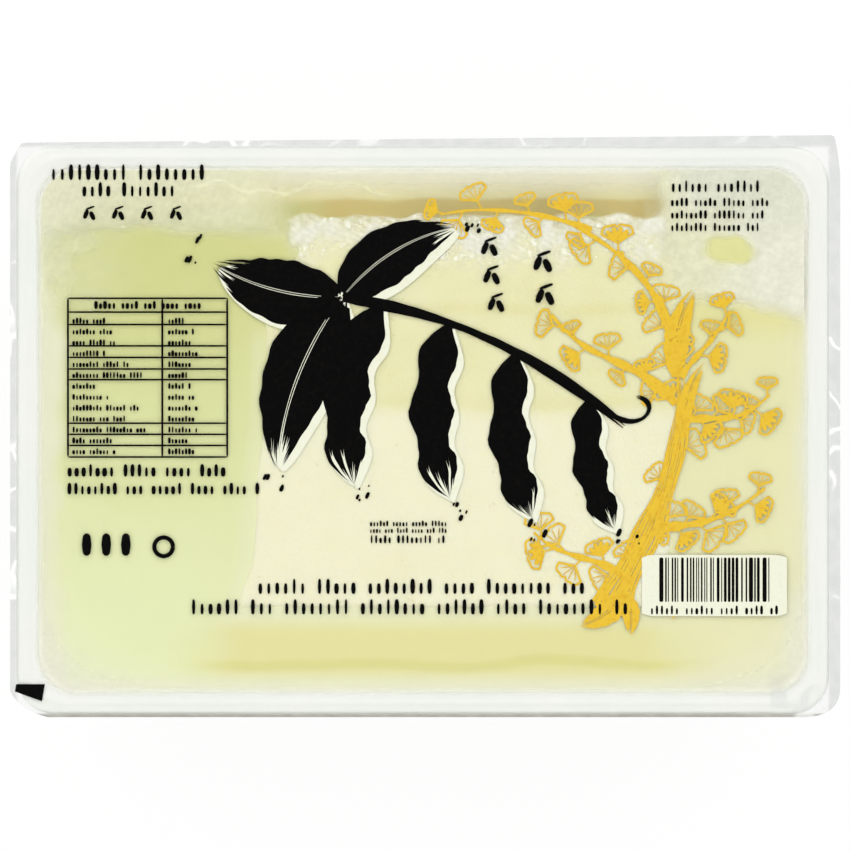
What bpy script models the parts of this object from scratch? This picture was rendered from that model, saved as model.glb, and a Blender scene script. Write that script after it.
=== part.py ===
"""A tofu block in whey, sealed in a shallow plastic tray under a clear lidding film.

Metres, +Z up. The origin is at the centre of the tray's base. X runs along the tray,
and the back of the pack, where the air has gathered, is at +Y.
Nodes: tray, tofu_block, whey, lid_film.
"""

import math

import bmesh
import bpy
from mathutils import Vector

# Tray: a moulded tub with a flat sealing rim that turns down in a short skirt.
RIM_LENGTH = 0.183
RIM_WIDTH = 0.128
RIM_BAND = 0.0053
CORNER_RADIUS = 0.0086
TRAY_HEIGHT = 0.0485
TRAY_WALL = 0.0008
EDGE_ROUND = 0.0010
SKIRT_DROP = 0.0024
WALL_LEAN = 0.0050
SHOULDER_DROP = 0.0050
SHOULDER_STEP = 0.0005
SHOULDER_ROUND = 0.0004
THROAT_LEAN = 0.0003
SEAL_BEAD_RISE = 0.0003
SEAL_BEAD_WIDTH = 0.0016
BASE_ROUND = 0.0045
BASE_LINE_INSET = 0.0215
BASE_LINE_WIDTH = 0.0016
BASE_LINE_DEPTH = 0.00035

# Lidding film: cut a little larger than the rim, a little askew, its corners clipped.
# Each corner's clip is (length along X, length along Y, roundness).
FILM_THICKNESS = 0.00015
FILM_SAG = 0.0009
FILM_OVER_LEFT = 0.0013
FILM_OVER_RIGHT = 0.0024
FILM_OVER_FRONT = 0.0005
FILM_OVER_BACK_LEFT = 0.0007
FILM_OVER_BACK_RIGHT = 0.0024
FILM_CLIP_BACK_RIGHT = (0.0014, 0.0090, 0.3)
FILM_CLIP_BACK_LEFT = (0.0027, 0.0049, 0.2)
FILM_CLIP_FRONT_LEFT = (0.0085, 0.0058, 0.5)
FILM_CLIP_FRONT_RIGHT = (0.0085, 0.0065, 1.0)
FILM_RING_SHARES = (1.0, 0.965, 0.93, 0.85, 0.7, 0.5, 0.25)
CLIP_STEPS = 4
FILM_SIDE_STEPS = 7

# Tofu: a hand-cut block whose front and left foot have slumped outwards.
TOFU_LEFT = -0.0370
TOFU_RIGHT = 0.0625
TOFU_BACK = 0.0482
TOFU_TOP_FRONT = -0.0415
TOFU_FOOT_FRONT = -0.0500
TOFU_ROUND = 0.0042
TOFU_TOP_BELOW_RIM = 0.0008
TOFU_TOP_SLOPE = 0.0004
TOFU_TOP_WAVE = 0.0001
TOFU_BACK_TAPER = 0.0012
TOFU_BACK_NARROWING = 0.0072
TOFU_LEFT_SPREAD = 0.0030
TOFU_LEFT_LOBE = 0.0115
TOFU_RIGHT_TUCK = 0.0060
TOFU_SIDE_WAVE = 0.0004
TOFU_FOOT_SPREAD = 0.0012
TOFU_FRONT_BULGE = 0.0026
TOFU_DIVISIONS = (18, 16, 8)

# Whey: fills the tray to just under the film, with an air pocket along the back.
WHEY_BELOW_RIM = 0.0016
POCKET_DEPTH = 0.0041
POCKET_FRONT_LEFT = 0.0415
POCKET_FRONT_RIGHT = 0.0290
POCKET_EDGE = 0.0050
WHEY_RING_SHARES = (1.0, 0.95, 0.9, 0.85, 0.8, 0.75, 0.7, 0.65, 0.6, 0.55, 0.5, 0.45, 0.4, 0.25)

CONTACT_GAP = 0.0003
CUTTER_DROP = 0.002
ARC_STEPS = 6
FILLET_STEPS = 3
SHARP_ANGLE = math.radians(35)

TOFU_TOP = TRAY_HEIGHT - TOFU_TOP_BELOW_RIM
WHEY_LEVEL = TRAY_HEIGHT - WHEY_BELOW_RIM


def clear_scene():
    """Remove every object, so that only this part is left."""
    for obj in list(bpy.data.objects):
        bpy.data.objects.remove(obj, do_unlink=True)


def smooth_step(low, high, value):
    """0 at low, 1 at high, and a smooth S between them. low may be the larger of the two."""
    share = min(max((value - low) / (high - low), 0.0), 1.0)
    return share * share * (3.0 - 2.0 * share)


def material(name, colour, roughness, alpha=1.0):
    """A Principled material of one colour."""
    made = bpy.data.materials.new(name)
    made.use_nodes = True
    shader = made.node_tree.nodes["Principled BSDF"]
    shader.inputs["Base Color"].default_value = (*colour, 1.0)
    shader.inputs["Roughness"].default_value = roughness
    shader.inputs["Metallic"].default_value = 0.0
    shader.inputs["Alpha"].default_value = alpha
    return made


def add_object(name, bm, finish):
    """Turn a bmesh into a smooth-shaded object with its material."""
    bmesh.ops.recalc_face_normals(bm, faces=bm.faces)
    mesh = bpy.data.meshes.new(name)
    bm.to_mesh(mesh)
    bm.free()
    mesh.shade_smooth()
    mesh.set_sharp_from_angle(angle=SHARP_ANGLE)
    mesh.materials.append(finish)
    obj = bpy.data.objects.new(name, mesh)
    bpy.context.scene.collection.objects.link(obj)
    return obj


# ------------------------------------------------------------ rings of vertices


def ring_verts(bm, points):
    return [bm.verts.new(point) for point in points]


def bridge(bm, first, second):
    """Faces between two closed rings of vertices of equal length."""
    count = len(first)
    for index in range(count):
        after = (index + 1) % count
        bm.faces.new((first[index], first[after], second[after], second[index]))


def bridge_all(bm, rings):
    for first, second in zip(rings, rings[1:]):
        bridge(bm, first, second)


def fan(bm, ring, centre):
    """Triangles from a closed ring of vertices to one point."""
    middle = bm.verts.new(centre)
    for index, vert in enumerate(ring):
        bm.faces.new((vert, ring[(index + 1) % len(ring)], middle))


# ---------------------------------------------------------- outlines and profiles


def rounded_rectangle(half_x, half_y, radius):
    """Points (x, y) round a rectangle with arcs at its corners, anticlockwise."""
    points = []
    corners = ((1, 1, 0.0), (-1, 1, 0.5), (-1, -1, 1.0), (1, -1, 1.5))
    for side_x, side_y, start in corners:
        centre_x = side_x * (half_x - radius)
        centre_y = side_y * (half_y - radius)
        for step in range(ARC_STEPS + 1):
            angle = math.pi * (start + 0.5 * step / ARC_STEPS)
            x = centre_x + radius * math.cos(angle)
            y = centre_y + radius * math.sin(angle)
            points.append((x, y))
    return points


def tray_ring(inset, z):
    """The tray's plan outline at a distance in from the rim's outer edge, at height z."""
    half_x = RIM_LENGTH / 2 - inset
    half_y = RIM_WIDTH / 2 - inset
    return [(x, y, z) for x, y in rounded_rectangle(half_x, half_y, CORNER_RADIUS)]


def filleted(corners):
    """A path through (inset, z, radius) corners, each rounded by an arc of its radius."""
    path = [corners[0][:2]]
    for before, corner, after in zip(corners, corners[1:], corners[2:]):
        point = Vector(corner[:2])
        radius = corner[2]
        if radius == 0.0:
            path.append(tuple(point))
            continue
        to_before = (Vector(before[:2]) - point).normalized()
        to_after = (Vector(after[:2]) - point).normalized()
        half_angle = to_before.angle(to_after) / 2
        reach = radius / math.tan(half_angle)
        centre = point + (to_before + to_after).normalized() * radius / math.sin(half_angle)
        start = point + to_before * reach - centre
        end = point + to_after * reach - centre
        sweep = start.angle_signed(end)
        for step in range(FILLET_STEPS + 1):
            turn = -sweep * step / FILLET_STEPS
            x = start.x * math.cos(turn) - start.y * math.sin(turn)
            y = start.x * math.sin(turn) + start.y * math.cos(turn)
            path.append((centre.x + x, centre.y + y))
    path.append(corners[-1][:2])
    return path


def offset_path(path, distance):
    """The path moved sideways, to the left of its direction, with mitred corners."""
    points = [Vector(point) for point in path]
    moved = []
    for index, point in enumerate(points):
        sides = []
        if index > 0:
            sides.append((point - points[index - 1]).normalized())
        if index < len(points) - 1:
            sides.append((points[index + 1] - point).normalized())
        normals = [Vector((-side.y, side.x)) for side in sides]
        mitre = sum(normals, Vector((0.0, 0.0))).normalized()
        moved.append(tuple(point + mitre * distance / mitre.dot(normals[0])))
    return moved


# -------------------------------------------------------------------------- tray


def tray_wall_corners(floor_end):
    """Corners of the food side, from the opening's edge down to a place on the floor."""
    shoulder_z = TRAY_HEIGHT - SHOULDER_DROP
    throat = RIM_BAND + THROAT_LEAN
    floor_inset = RIM_BAND + SHOULDER_STEP + WALL_LEAN
    return [
        (RIM_BAND, TRAY_HEIGHT, EDGE_ROUND),
        (throat, shoulder_z, SHOULDER_ROUND),
        (throat + SHOULDER_STEP, shoulder_z - SHOULDER_STEP, SHOULDER_ROUND),
        (floor_inset, TRAY_WALL, BASE_ROUND),
        (floor_end, TRAY_WALL, 0.0),
    ]


def skirt_corners():
    """Corners of the rim's outer edge: the skirt's foot and the turn onto the rim."""
    return [
        (0.0, TRAY_HEIGHT - SKIRT_DROP, 0.0),
        (0.0, TRAY_HEIGHT, EDGE_ROUND),
    ]


def ridge(middle, width, base, rise):
    """Corners of a low flat-topped ridge across a level line, or of a groove if rise is less."""
    half = width / 2
    return [
        (middle - half, base, 0.0),
        (middle - half / 2, base + rise, 0.0),
        (middle + half / 2, base + rise, 0.0),
        (middle + half, base, 0.0),
    ]


def make_tray(finish):
    """A shell between an upper and an under line, carried round the rounded rectangle.

    The upper line has the seal bead on the rim. The under line keeps the wall's thickness
    and ends in a fine line pressed into the base.
    """
    bead = ridge(RIM_BAND / 2, SEAL_BEAD_WIDTH, TRAY_HEIGHT, SEAL_BEAD_RISE)
    upper_line = filleted(skirt_corners() + bead + tray_wall_corners(BASE_LINE_INSET))
    plain_line = filleted(skirt_corners() + tray_wall_corners(BASE_LINE_INSET - BASE_LINE_WIDTH))
    groove = ridge(BASE_LINE_INSET, BASE_LINE_WIDTH, 0.0, BASE_LINE_DEPTH)
    under_line = offset_path(plain_line, -TRAY_WALL) + [corner[:2] for corner in groove]

    bm = bmesh.new()
    upper = [ring_verts(bm, tray_ring(inset, z)) for inset, z in upper_line]
    under = [ring_verts(bm, tray_ring(inset, z)) for inset, z in under_line]
    bridge_all(bm, upper)
    bridge_all(bm, under)
    bridge(bm, upper[0], under[0])
    bm.faces.new(upper[-1])
    bm.faces.new(under[-1])
    return add_object("tray", bm, finish)


# ---------------------------------------------------------------------- lid film


def film_edge():
    """The film's cut edge, anticlockwise: straight sides joined by clipped corners.

    A clip is a quadratic curve between its two ends. Its middle point lies between the
    straight cut, at roundness 0, and the sheet's corner, at roundness 1.
    """
    left = -RIM_LENGTH / 2 - FILM_OVER_LEFT
    right = RIM_LENGTH / 2 + FILM_OVER_RIGHT
    front = -RIM_WIDTH / 2 - FILM_OVER_FRONT
    back_left = RIM_WIDTH / 2 + FILM_OVER_BACK_LEFT
    back_right = RIM_WIDTH / 2 + FILM_OVER_BACK_RIGHT
    corners = (
        (right, back_right, FILM_CLIP_BACK_RIGHT, (0, -1), (-1, 0)),
        (left, back_left, FILM_CLIP_BACK_LEFT, (1, 0), (0, -1)),
        (left, front, FILM_CLIP_FRONT_LEFT, (0, 1), (1, 0)),
        (right, front, FILM_CLIP_FRONT_RIGHT, (-1, 0), (0, 1)),
    )
    clips = []
    for x, y, (clip_x, clip_y, roundness), way_in, way_out in corners:
        corner = Vector((x, y))
        start = corner + Vector((way_in[0] * clip_x, way_in[1] * clip_y))
        end = corner + Vector((way_out[0] * clip_x, way_out[1] * clip_y))
        middle = start.lerp(end, 0.5).lerp(corner, roundness)
        clip = []
        for step in range(CLIP_STEPS + 1):
            share = step / CLIP_STEPS
            clip.append(start.lerp(middle, share).lerp(middle.lerp(end, share), share))
        clips.append(clip)
    edge = []
    for index, clip in enumerate(clips):
        following = clips[(index + 1) % len(clips)][0]
        edge += clip
        edge += [clip[-1].lerp(following, step / FILM_SIDE_STEPS) for step in range(1, FILM_SIDE_STEPS)]
    return edge


def film_height(x, y):
    """Height of the film's under side: level on the rim, sagging a little over the opening."""
    across = max(0.0, 1.0 - (x / (RIM_LENGTH / 2 - RIM_BAND)) ** 2)
    along = max(0.0, 1.0 - (y / (RIM_WIDTH / 2 - RIM_BAND)) ** 2)
    seat = TRAY_HEIGHT + SEAL_BEAD_RISE + CONTACT_GAP
    return seat - FILM_SAG * math.sqrt(across * along)


def make_lid_film(finish):
    """A thin sheet built of rings that shrink from the cut edge to the middle."""
    edge = film_edge()
    bm = bmesh.new()
    outer_rings = []
    for lift in (0.0, FILM_THICKNESS):
        rings = []
        for share in FILM_RING_SHARES:
            points = [(point.x * share, point.y * share) for point in edge]
            rings.append(ring_verts(bm, [(x, y, film_height(x, y) + lift) for x, y in points]))
        bridge_all(bm, rings)
        fan(bm, rings[-1], (0.0, 0.0, film_height(0.0, 0.0) + lift))
        outer_rings.append(rings[0])
    bridge(bm, *outer_rings)
    return add_object("lid_film", bm, finish)


# -------------------------------------------------------------------------- tofu


def tofu_sides(y, slump):
    """Left and right side of the block at y. slump runs from 0 at its top to 1 at its foot."""
    narrowing = TOFU_BACK_NARROWING * smooth_step(0.026, 0.042, y)
    spread = TOFU_LEFT_SPREAD * smooth_step(0.010, -0.030, y)
    lobe = TOFU_LEFT_LOBE * smooth_step(-0.028, -0.042, y) * (0.3 + 0.7 * slump)
    tuck = TOFU_RIGHT_TUCK * smooth_step(0.020, -0.035, y)
    wave = TOFU_SIDE_WAVE * math.sin(y * 210.0)
    left = TOFU_LEFT + narrowing - spread - lobe + wave - TOFU_FOOT_SPREAD * slump
    right = TOFU_RIGHT - narrowing - tuck + wave + TOFU_FOOT_SPREAD * slump
    return left, right


def tofu_point(place, grow):
    """A point of the block's skin from a point of the cube -1..1, with rounded edges.

    The cube is scaled to the block's half sizes. Each point is moved to the nearest point
    of a smaller core box and out again by the edge radius, which rounds the edges. The
    result is stretched between the block's own sides, front, back, base and top, so that
    its foot spreads. grow moves the whole skin outwards.
    """
    base = TRAY_WALL + CONTACT_GAP
    half = Vector(
        (
            (TOFU_RIGHT - TOFU_LEFT) / 2,
            (TOFU_BACK - TOFU_TOP_FRONT) / 2,
            (TOFU_TOP - base) / 2,
        )
    )
    raw = Vector([share * size for share, size in zip(place, half)])
    core = Vector([max(TOFU_ROUND - size, min(size - TOFU_ROUND, r)) for r, size in zip(raw, half)])
    away = raw - core
    rounded = core + away.normalized() * TOFU_ROUND
    share_x, share_y, share_z = (r / size for r, size in zip(rounded, half))

    foot = 0.5 - 0.5 * share_z
    slump = foot**1.6
    bulge = TOFU_FRONT_BULGE * (1.0 - share_x * share_x) * slump
    front = TOFU_TOP_FRONT + (TOFU_FOOT_FRONT - TOFU_TOP_FRONT) * slump - bulge
    back = TOFU_BACK - TOFU_BACK_TAPER * (1.0 - foot)
    y = front + (back - front) * (0.5 + 0.5 * share_y) + grow * share_y
    left, right = tofu_sides(y, slump)
    x = left + (right - left) * (0.5 + 0.5 * share_x) + grow * share_x
    top = TOFU_TOP - TOFU_TOP_SLOPE * smooth_step(TOFU_TOP_FRONT, TOFU_BACK, y)
    top += TOFU_TOP_WAVE * math.sin(x * 70.0 + 0.7) * math.cos(y * 60.0 - 0.4)
    z = base + (top - base) * (0.5 + 0.5 * share_z) + grow * share_z
    return Vector((x, y, z))


def make_tofu(name, finish, grow=0.0, drop=0.0):
    """The block as a divided cube carried to its form. drop lengthens its foot downwards."""
    bm = bmesh.new()
    found = {}

    def vert(index):
        if index not in found:
            # The sine sets the divisions closer together towards the edges.
            turns = [2.0 * number / count - 1.0 for number, count in zip(index, TOFU_DIVISIONS)]
            point = tofu_point([math.sin(0.5 * math.pi * turn) for turn in turns], grow)
            if index[2] == 0:
                point.z -= drop
            found[index] = bm.verts.new(point)
        return found[index]

    for axis, count in enumerate(TOFU_DIVISIONS):
        first, second = (other for other in range(3) if other != axis)
        for end in (0, count):
            for a in range(TOFU_DIVISIONS[first]):
                for b in range(TOFU_DIVISIONS[second]):
                    corners = []
                    for step_a, step_b in ((0, 0), (1, 0), (1, 1), (0, 1)):
                        index = [end, end, end]
                        index[first] = a + step_a
                        index[second] = b + step_b
                        corners.append(vert(tuple(index)))
                    bm.faces.new(corners)
    return add_object(name, bm, finish)


# -------------------------------------------------------------------------- whey


def whey_height(x, y):
    """Height of the whey: level, with a pocket of air pressed into it along the back."""
    share = smooth_step(-0.3, 0.2, x / RIM_LENGTH)
    front = POCKET_FRONT_LEFT + (POCKET_FRONT_RIGHT - POCKET_FRONT_LEFT) * share
    return WHEY_LEVEL - POCKET_DEPTH * smooth_step(front, front + POCKET_EDGE, y)


def make_whey(finish, cutter):
    """The liquid between tray and block: rings inside the tray's wall, less the block."""
    wall_line = filleted([(RIM_BAND, TRAY_HEIGHT, 0.0)] + tray_wall_corners(BASE_LINE_INSET)[1:])
    lowest_surface = WHEY_LEVEL - POCKET_DEPTH
    inner_line = [point for point in offset_path(wall_line, CONTACT_GAP) if point[1] < lowest_surface]
    outline = tray_ring(inner_line[0][0], 0.0)

    bm = bmesh.new()
    surface = []
    for share in WHEY_RING_SHARES:
        points = [(x * share, y * share) for x, y, _ in outline]
        surface.append(ring_verts(bm, [(x, y, whey_height(x, y)) for x, y in points]))
    walls = [ring_verts(bm, tray_ring(inset, z)) for inset, z in inner_line]
    bridge_all(bm, surface)
    bridge_all(bm, walls)
    bridge(bm, surface[0], walls[0])
    bm.faces.new(walls[-1])
    fan(bm, surface[-1], (0.0, 0.0, whey_height(0.0, 0.0)))

    whey = add_object("whey", bm, finish)
    cut = whey.modifiers.new("block_space", "BOOLEAN")
    cut.operation = "DIFFERENCE"
    cut.solver = "EXACT"
    cut.object = cutter
    return whey


def main():
    clear_scene()
    polypropylene = material("polypropylene", (0.88, 0.90, 0.86), 0.35)
    clear_film = material("clear_film", (0.95, 0.96, 0.95), 0.12, alpha=0.25)
    tofu_curd = material("tofu_curd", (0.92, 0.90, 0.76), 0.55)
    pale_whey = material("pale_whey", (0.82, 0.83, 0.48), 0.08, alpha=0.6)

    make_tray(polypropylene)
    make_lid_film(clear_film)
    make_tofu("tofu_block", tofu_curd)
    block_space = make_tofu("block_space", tofu_curd, CONTACT_GAP, CUTTER_DROP)
    block_space.hide_render = True
    block_space.display_type = "WIRE"
    make_whey(pale_whey, block_space)


main()
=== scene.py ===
"""The looks of a sealed pack of tofu: a milky tray, whey, a cut block and a clear printed film.

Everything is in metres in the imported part's own frame: X along the tray, +Y to its back,
+Z up out of the film. Print is laid out in millimetres from the middle of the tray.
"""

import logging
import math
from dataclasses import dataclass
from enum import Enum
from typing import Any, Optional, Sequence, Union

import bpy
import numpy as np
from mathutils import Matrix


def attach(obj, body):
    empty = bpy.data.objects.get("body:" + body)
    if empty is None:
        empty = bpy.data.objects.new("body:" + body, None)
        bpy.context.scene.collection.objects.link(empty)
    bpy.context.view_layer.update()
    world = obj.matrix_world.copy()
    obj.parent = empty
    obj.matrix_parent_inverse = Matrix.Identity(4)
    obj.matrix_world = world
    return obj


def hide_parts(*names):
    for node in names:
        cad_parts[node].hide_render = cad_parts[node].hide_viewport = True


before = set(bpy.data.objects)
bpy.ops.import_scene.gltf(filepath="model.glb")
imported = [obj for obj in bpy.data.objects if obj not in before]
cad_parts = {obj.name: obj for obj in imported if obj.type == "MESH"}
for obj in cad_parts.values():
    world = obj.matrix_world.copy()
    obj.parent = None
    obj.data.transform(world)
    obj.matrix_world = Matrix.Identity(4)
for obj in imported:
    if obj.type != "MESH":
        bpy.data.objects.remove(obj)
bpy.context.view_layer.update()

LOG = logging.getLogger("tofu_pack")
MM = 0.001
BODY = "root"

Array = np.ndarray
Colour = tuple[float, float, float]
Link = Union["Signal", float, Sequence[float], bpy.types.NodeSocket]
Skin = tuple[Array, list[Array]]


class Slot(Enum):
    """The record's material slots."""

    TRAY = "tray_plastic"
    FILM = "clear_film"
    CURD = "tofu_curd"
    WHEY = "pale_whey"


# ------------------------------------------------------------------ shader graphs


class Signal:
    """A number that comes out of a shader node, on which Python expressions can be written."""

    def __init__(self, graph: "Graph", socket: bpy.types.NodeSocket) -> None:
        """Wrap one output socket of a node in the graph."""
        self.graph = graph
        self.socket = socket

    def maths(self, operation: str, *others: Link, clamp: bool = False) -> "Signal":
        """Apply a Math node to this number.

        Args:
            operation: The Math node's operation.
            others: The node's second and third numbers.
            clamp: Whether the result is held between 0 and 1.

        Returns:
            The node's result.
        """
        settings = {"operation": operation, "use_clamp": clamp}
        node = self.graph.node("ShaderNodeMath", settings, dict(enumerate((self, *others))))
        return Signal(self.graph, node.outputs[0])

    def __add__(self, other: Link) -> "Signal":
        """This number plus another."""
        return self.maths("ADD", other)

    def __mul__(self, other: Link) -> "Signal":
        """This number times another."""
        return self.maths("MULTIPLY", other)

    def __sub__(self, other: Link) -> "Signal":
        """This number less another."""
        return self.maths("SUBTRACT", other)

    def __rsub__(self, other: float) -> "Signal":
        """A plain number less this one."""
        return self.maths("MULTIPLY", -1.0).maths("ADD", other)

    __radd__ = __add__
    __rmul__ = __mul__

    def between(self, low: float, high: float) -> "Signal":
        """Rise smoothly from 0 where this number is low to 1 where it is high.

        Args:
            low: The number that gives 0.
            high: The number that gives 1.

        Returns:
            The smooth share.
        """
        settings = {"interpolation_type": "SMOOTHSTEP"}
        values = {"Value": self, "From Min": low, "From Max": high}
        node = self.graph.node("ShaderNodeMapRange", settings, values)
        return Signal(self.graph, node.outputs["Result"])


class Graph:
    """The nodes of one material, or of the world."""

    def __init__(self, name: str, world: bool = False) -> None:
        """Start a material or a world with nothing but its output."""
        self.owner = (bpy.data.worlds if world else bpy.data.materials).new(name)
        self.owner.use_nodes = True
        self.tree = self.owner.node_tree
        self.tree.nodes.clear()
        self.output = self.node(f"ShaderNodeOutput{'World' if world else 'Material'}", {}, {})

    def node(self, kind: str, settings: dict[str, Any], inputs: dict[Any, Link]) -> bpy.types.Node:
        """Add a node.

        Args:
            kind: The node's type.
            settings: Its properties, set before its sockets.
            inputs: Values or links for its sockets, by name or number.

        Returns:
            The node.
        """
        made = self.tree.nodes.new(kind)
        for name, value in settings.items():
            setattr(made, name, value)
        for key, value in inputs.items():
            if isinstance(value, Signal):
                value = value.socket
            if isinstance(value, bpy.types.NodeSocket):
                self.tree.links.new(value, made.inputs[key])
            elif isinstance(value, Sequence) and made.inputs[key].type == "RGBA":
                made.inputs[key].default_value = (*value, 1.0)
            else:
                made.inputs[key].default_value = value
        return made

    def place(self, scale: Sequence[float] = (1.0, 1.0, 1.0), turn: float = 0.0) -> bpy.types.NodeSocket:
        """Object coordinates, stretched and turned about Z.

        Args:
            scale: The stretch along each axis.
            turn: The turn in radians.

        Returns:
            The vector socket.
        """
        seat = self.node("ShaderNodeTexCoord", {}, {}).outputs["Object"]
        values = {"Vector": seat, "Scale": scale, "Rotation": (0.0, 0.0, turn)}
        return self.node("ShaderNodeMapping", {}, values).outputs["Vector"]

    def axes(self, kind: str = "Object") -> tuple[Signal, Signal, Signal]:
        """Coordinates, one number for each axis: the object's in metres, or the sky's direction."""
        seat = self.node("ShaderNodeTexCoord", {}, {}).outputs[kind]
        parts = self.node("ShaderNodeSeparateXYZ", {}, {"Vector": seat})
        return tuple(Signal(self, parts.outputs[axis]) for axis in "XYZ")

    def glancing(self) -> Signal:
        """Near 0 where a surface is seen or lit squarely, from either side, and 1 at its edge."""
        node = self.node("ShaderNodeLayerWeight", {}, {"Blend": 0.5})
        return Signal(self, node.outputs["Facing"]).maths("POWER", 5.0)

    def attribute(self, name: str) -> Signal:
        """A number kept on the mesh's points."""
        node = self.node("ShaderNodeAttribute", {"attribute_name": name}, {})
        return Signal(self, node.outputs["Fac"])

    def noise(self, size: float, detail: float = 3.0, vector: Optional[Link] = None) -> Signal:
        """Soft noise from 0 to 1.

        Args:
            size: The breadth of its patches in metres.
            detail: The number of finer layers.
            vector: Where it is read, or None for plain object coordinates.

        Returns:
            The noise.
        """
        spot = self.place() if vector is None else vector
        values = {"Vector": spot, "Scale": 1.0 / size, "Detail": detail}
        node = self.node("ShaderNodeTexNoise", {}, values)
        return Signal(self, node.outputs[0])

    def cells(self, size: float, randomness: float = 1.0) -> Signal:
        """Distance to the nearest of a scatter of points, as a share of their spacing.

        Args:
            size: The spacing in metres.
            randomness: From 0, a lattice, to 1, a free scatter.

        Returns:
            The distance.
        """
        values = {"Vector": self.place(), "Scale": 1.0 / size, "Randomness": randomness}
        node = self.node("ShaderNodeTexVoronoi", {}, values)
        return Signal(self, node.outputs["Distance"])

    def blend(self, first: Link, second: Link, share: Link) -> bpy.types.NodeSocket:
        """Mix two colours.

        Args:
            first: The colour at share 0.
            second: The colour at share 1.
            share: The second colour's share.

        Returns:
            The colour socket.
        """
        made = self.node("ShaderNodeMix", {"data_type": "RGBA"}, {"Factor": share})
        for value, socket in ((first, made.inputs[6]), (second, made.inputs[7])):
            if isinstance(value, bpy.types.NodeSocket):
                self.tree.links.new(value, socket)
            else:
                socket.default_value = (*value, 1.0)
        return made.outputs[2]

    def relief(self, height: Signal, depth: float) -> bpy.types.NodeSocket:
        """A Bump node's normal.

        Args:
            height: The relief, from 0 to 1.
            depth: What 1 stands for, in metres.

        Returns:
            The normal socket.
        """
        made = self.node("ShaderNodeBump", {}, {"Height": height, "Distance": depth, "Strength": 1.0})
        return made.outputs["Normal"]

    def principled(self, **inputs: Link) -> bpy.types.NodeSocket:
        """A Principled shader, whose sockets are named with underscores for spaces."""
        named = {key.replace("_", " "): value for key, value in inputs.items()}
        return self.node("ShaderNodeBsdfPrincipled", {}, named).outputs["BSDF"]

    def see_through(
        self, tint: Colour, gloss: bpy.types.NodeSocket, share: Link
    ) -> bpy.types.NodeSocket:
        """A shader that light passes straight through, under a share of another shader.

        Args:
            tint: The colour that light takes on its way through.
            gloss: The shader laid over it.
            share: The share of that shader.

        Returns:
            The shader socket.
        """
        clear = self.node("ShaderNodeBsdfTransparent", {}, {"Color": tint}).outputs["BSDF"]
        return self.mixed(clear, gloss, share)

    def mixed(
        self, first: bpy.types.NodeSocket, second: bpy.types.NodeSocket, share: Link
    ) -> bpy.types.NodeSocket:
        """Mix two shaders, by the second one's share."""
        return self.node("ShaderNodeMixShader", {}, {0: share, 1: first, 2: second}).outputs["Shader"]

    def done(
        self, surface: bpy.types.NodeSocket, volume: Optional[bpy.types.NodeSocket] = None
    ) -> Any:
        """Join the shaders to the output.

        Args:
            surface: The surface shader.
            volume: The volume shader, if there is one.

        Returns:
            The material or the world.
        """
        self.tree.links.new(surface, self.output.inputs["Surface"])
        if volume is not None:
            self.tree.links.new(volume, self.output.inputs["Volume"])
        return self.owner


# ------------------------------------------------------------------------ finishes


@dataclass(frozen=True)
class TrayPlastic:
    """Milky polypropylene, with painted light below the whey's level: the whey's colour that shows faintly through
    its walls.
    """

    milk: Colour = (0.865, 0.875, 0.845)
    cool: Colour = (0.84, 0.87, 0.83)
    # painted light: the whey's colour seen through the wall
    soaked: Colour = (0.87, 0.87, 0.72)
    passed: Colour = (0.92, 0.93, 0.84)
    roughness: float = 0.34
    rim_see_through: float = 0.10
    wall_see_through: float = 0.34
    rim_foot: float = 0.0480
    whey_level: float = 0.044

    def build(self) -> bpy.types.Material:
        """Make the material."""
        graph = Graph("tray_plastic")
        _, _, up = graph.axes()
        cloud = graph.noise(0.030, 2.0)
        plastic = graph.blend(self.milk, self.cool, cloud.between(0.40, 0.62))
        # painted light: below the whey's level the plastic takes the whey's colour that shows through the wall
        whey_seen_through = (1.0 - up.between(self.whey_level - 0.004, self.whey_level + 0.001)) * 0.75
        colour = graph.blend(plastic, self.soaked, whey_seen_through)
        drawn = graph.noise(0.0016, 2.0, graph.place((1.0, 1.0, 0.08)))
        grain = graph.noise(0.0004, 2.0)
        skin = graph.principled(
            Base_Color=colour,
            Roughness=grain * 0.12 + (self.roughness - 0.06),
            IOR=1.49,
            Normal=graph.relief(drawn * 0.7 + grain * 0.3, 0.00003),
        )
        glow = graph.node("ShaderNodeBsdfTranslucent", {}, {"Color": self.passed}).outputs["BSDF"]
        thin = 1.0 - up.between(self.rim_foot - 0.002, self.rim_foot)
        share = thin * (self.wall_see_through - self.rim_see_through) + self.rim_see_through
        return graph.done(graph.mixed(skin, glow, share))


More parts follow.
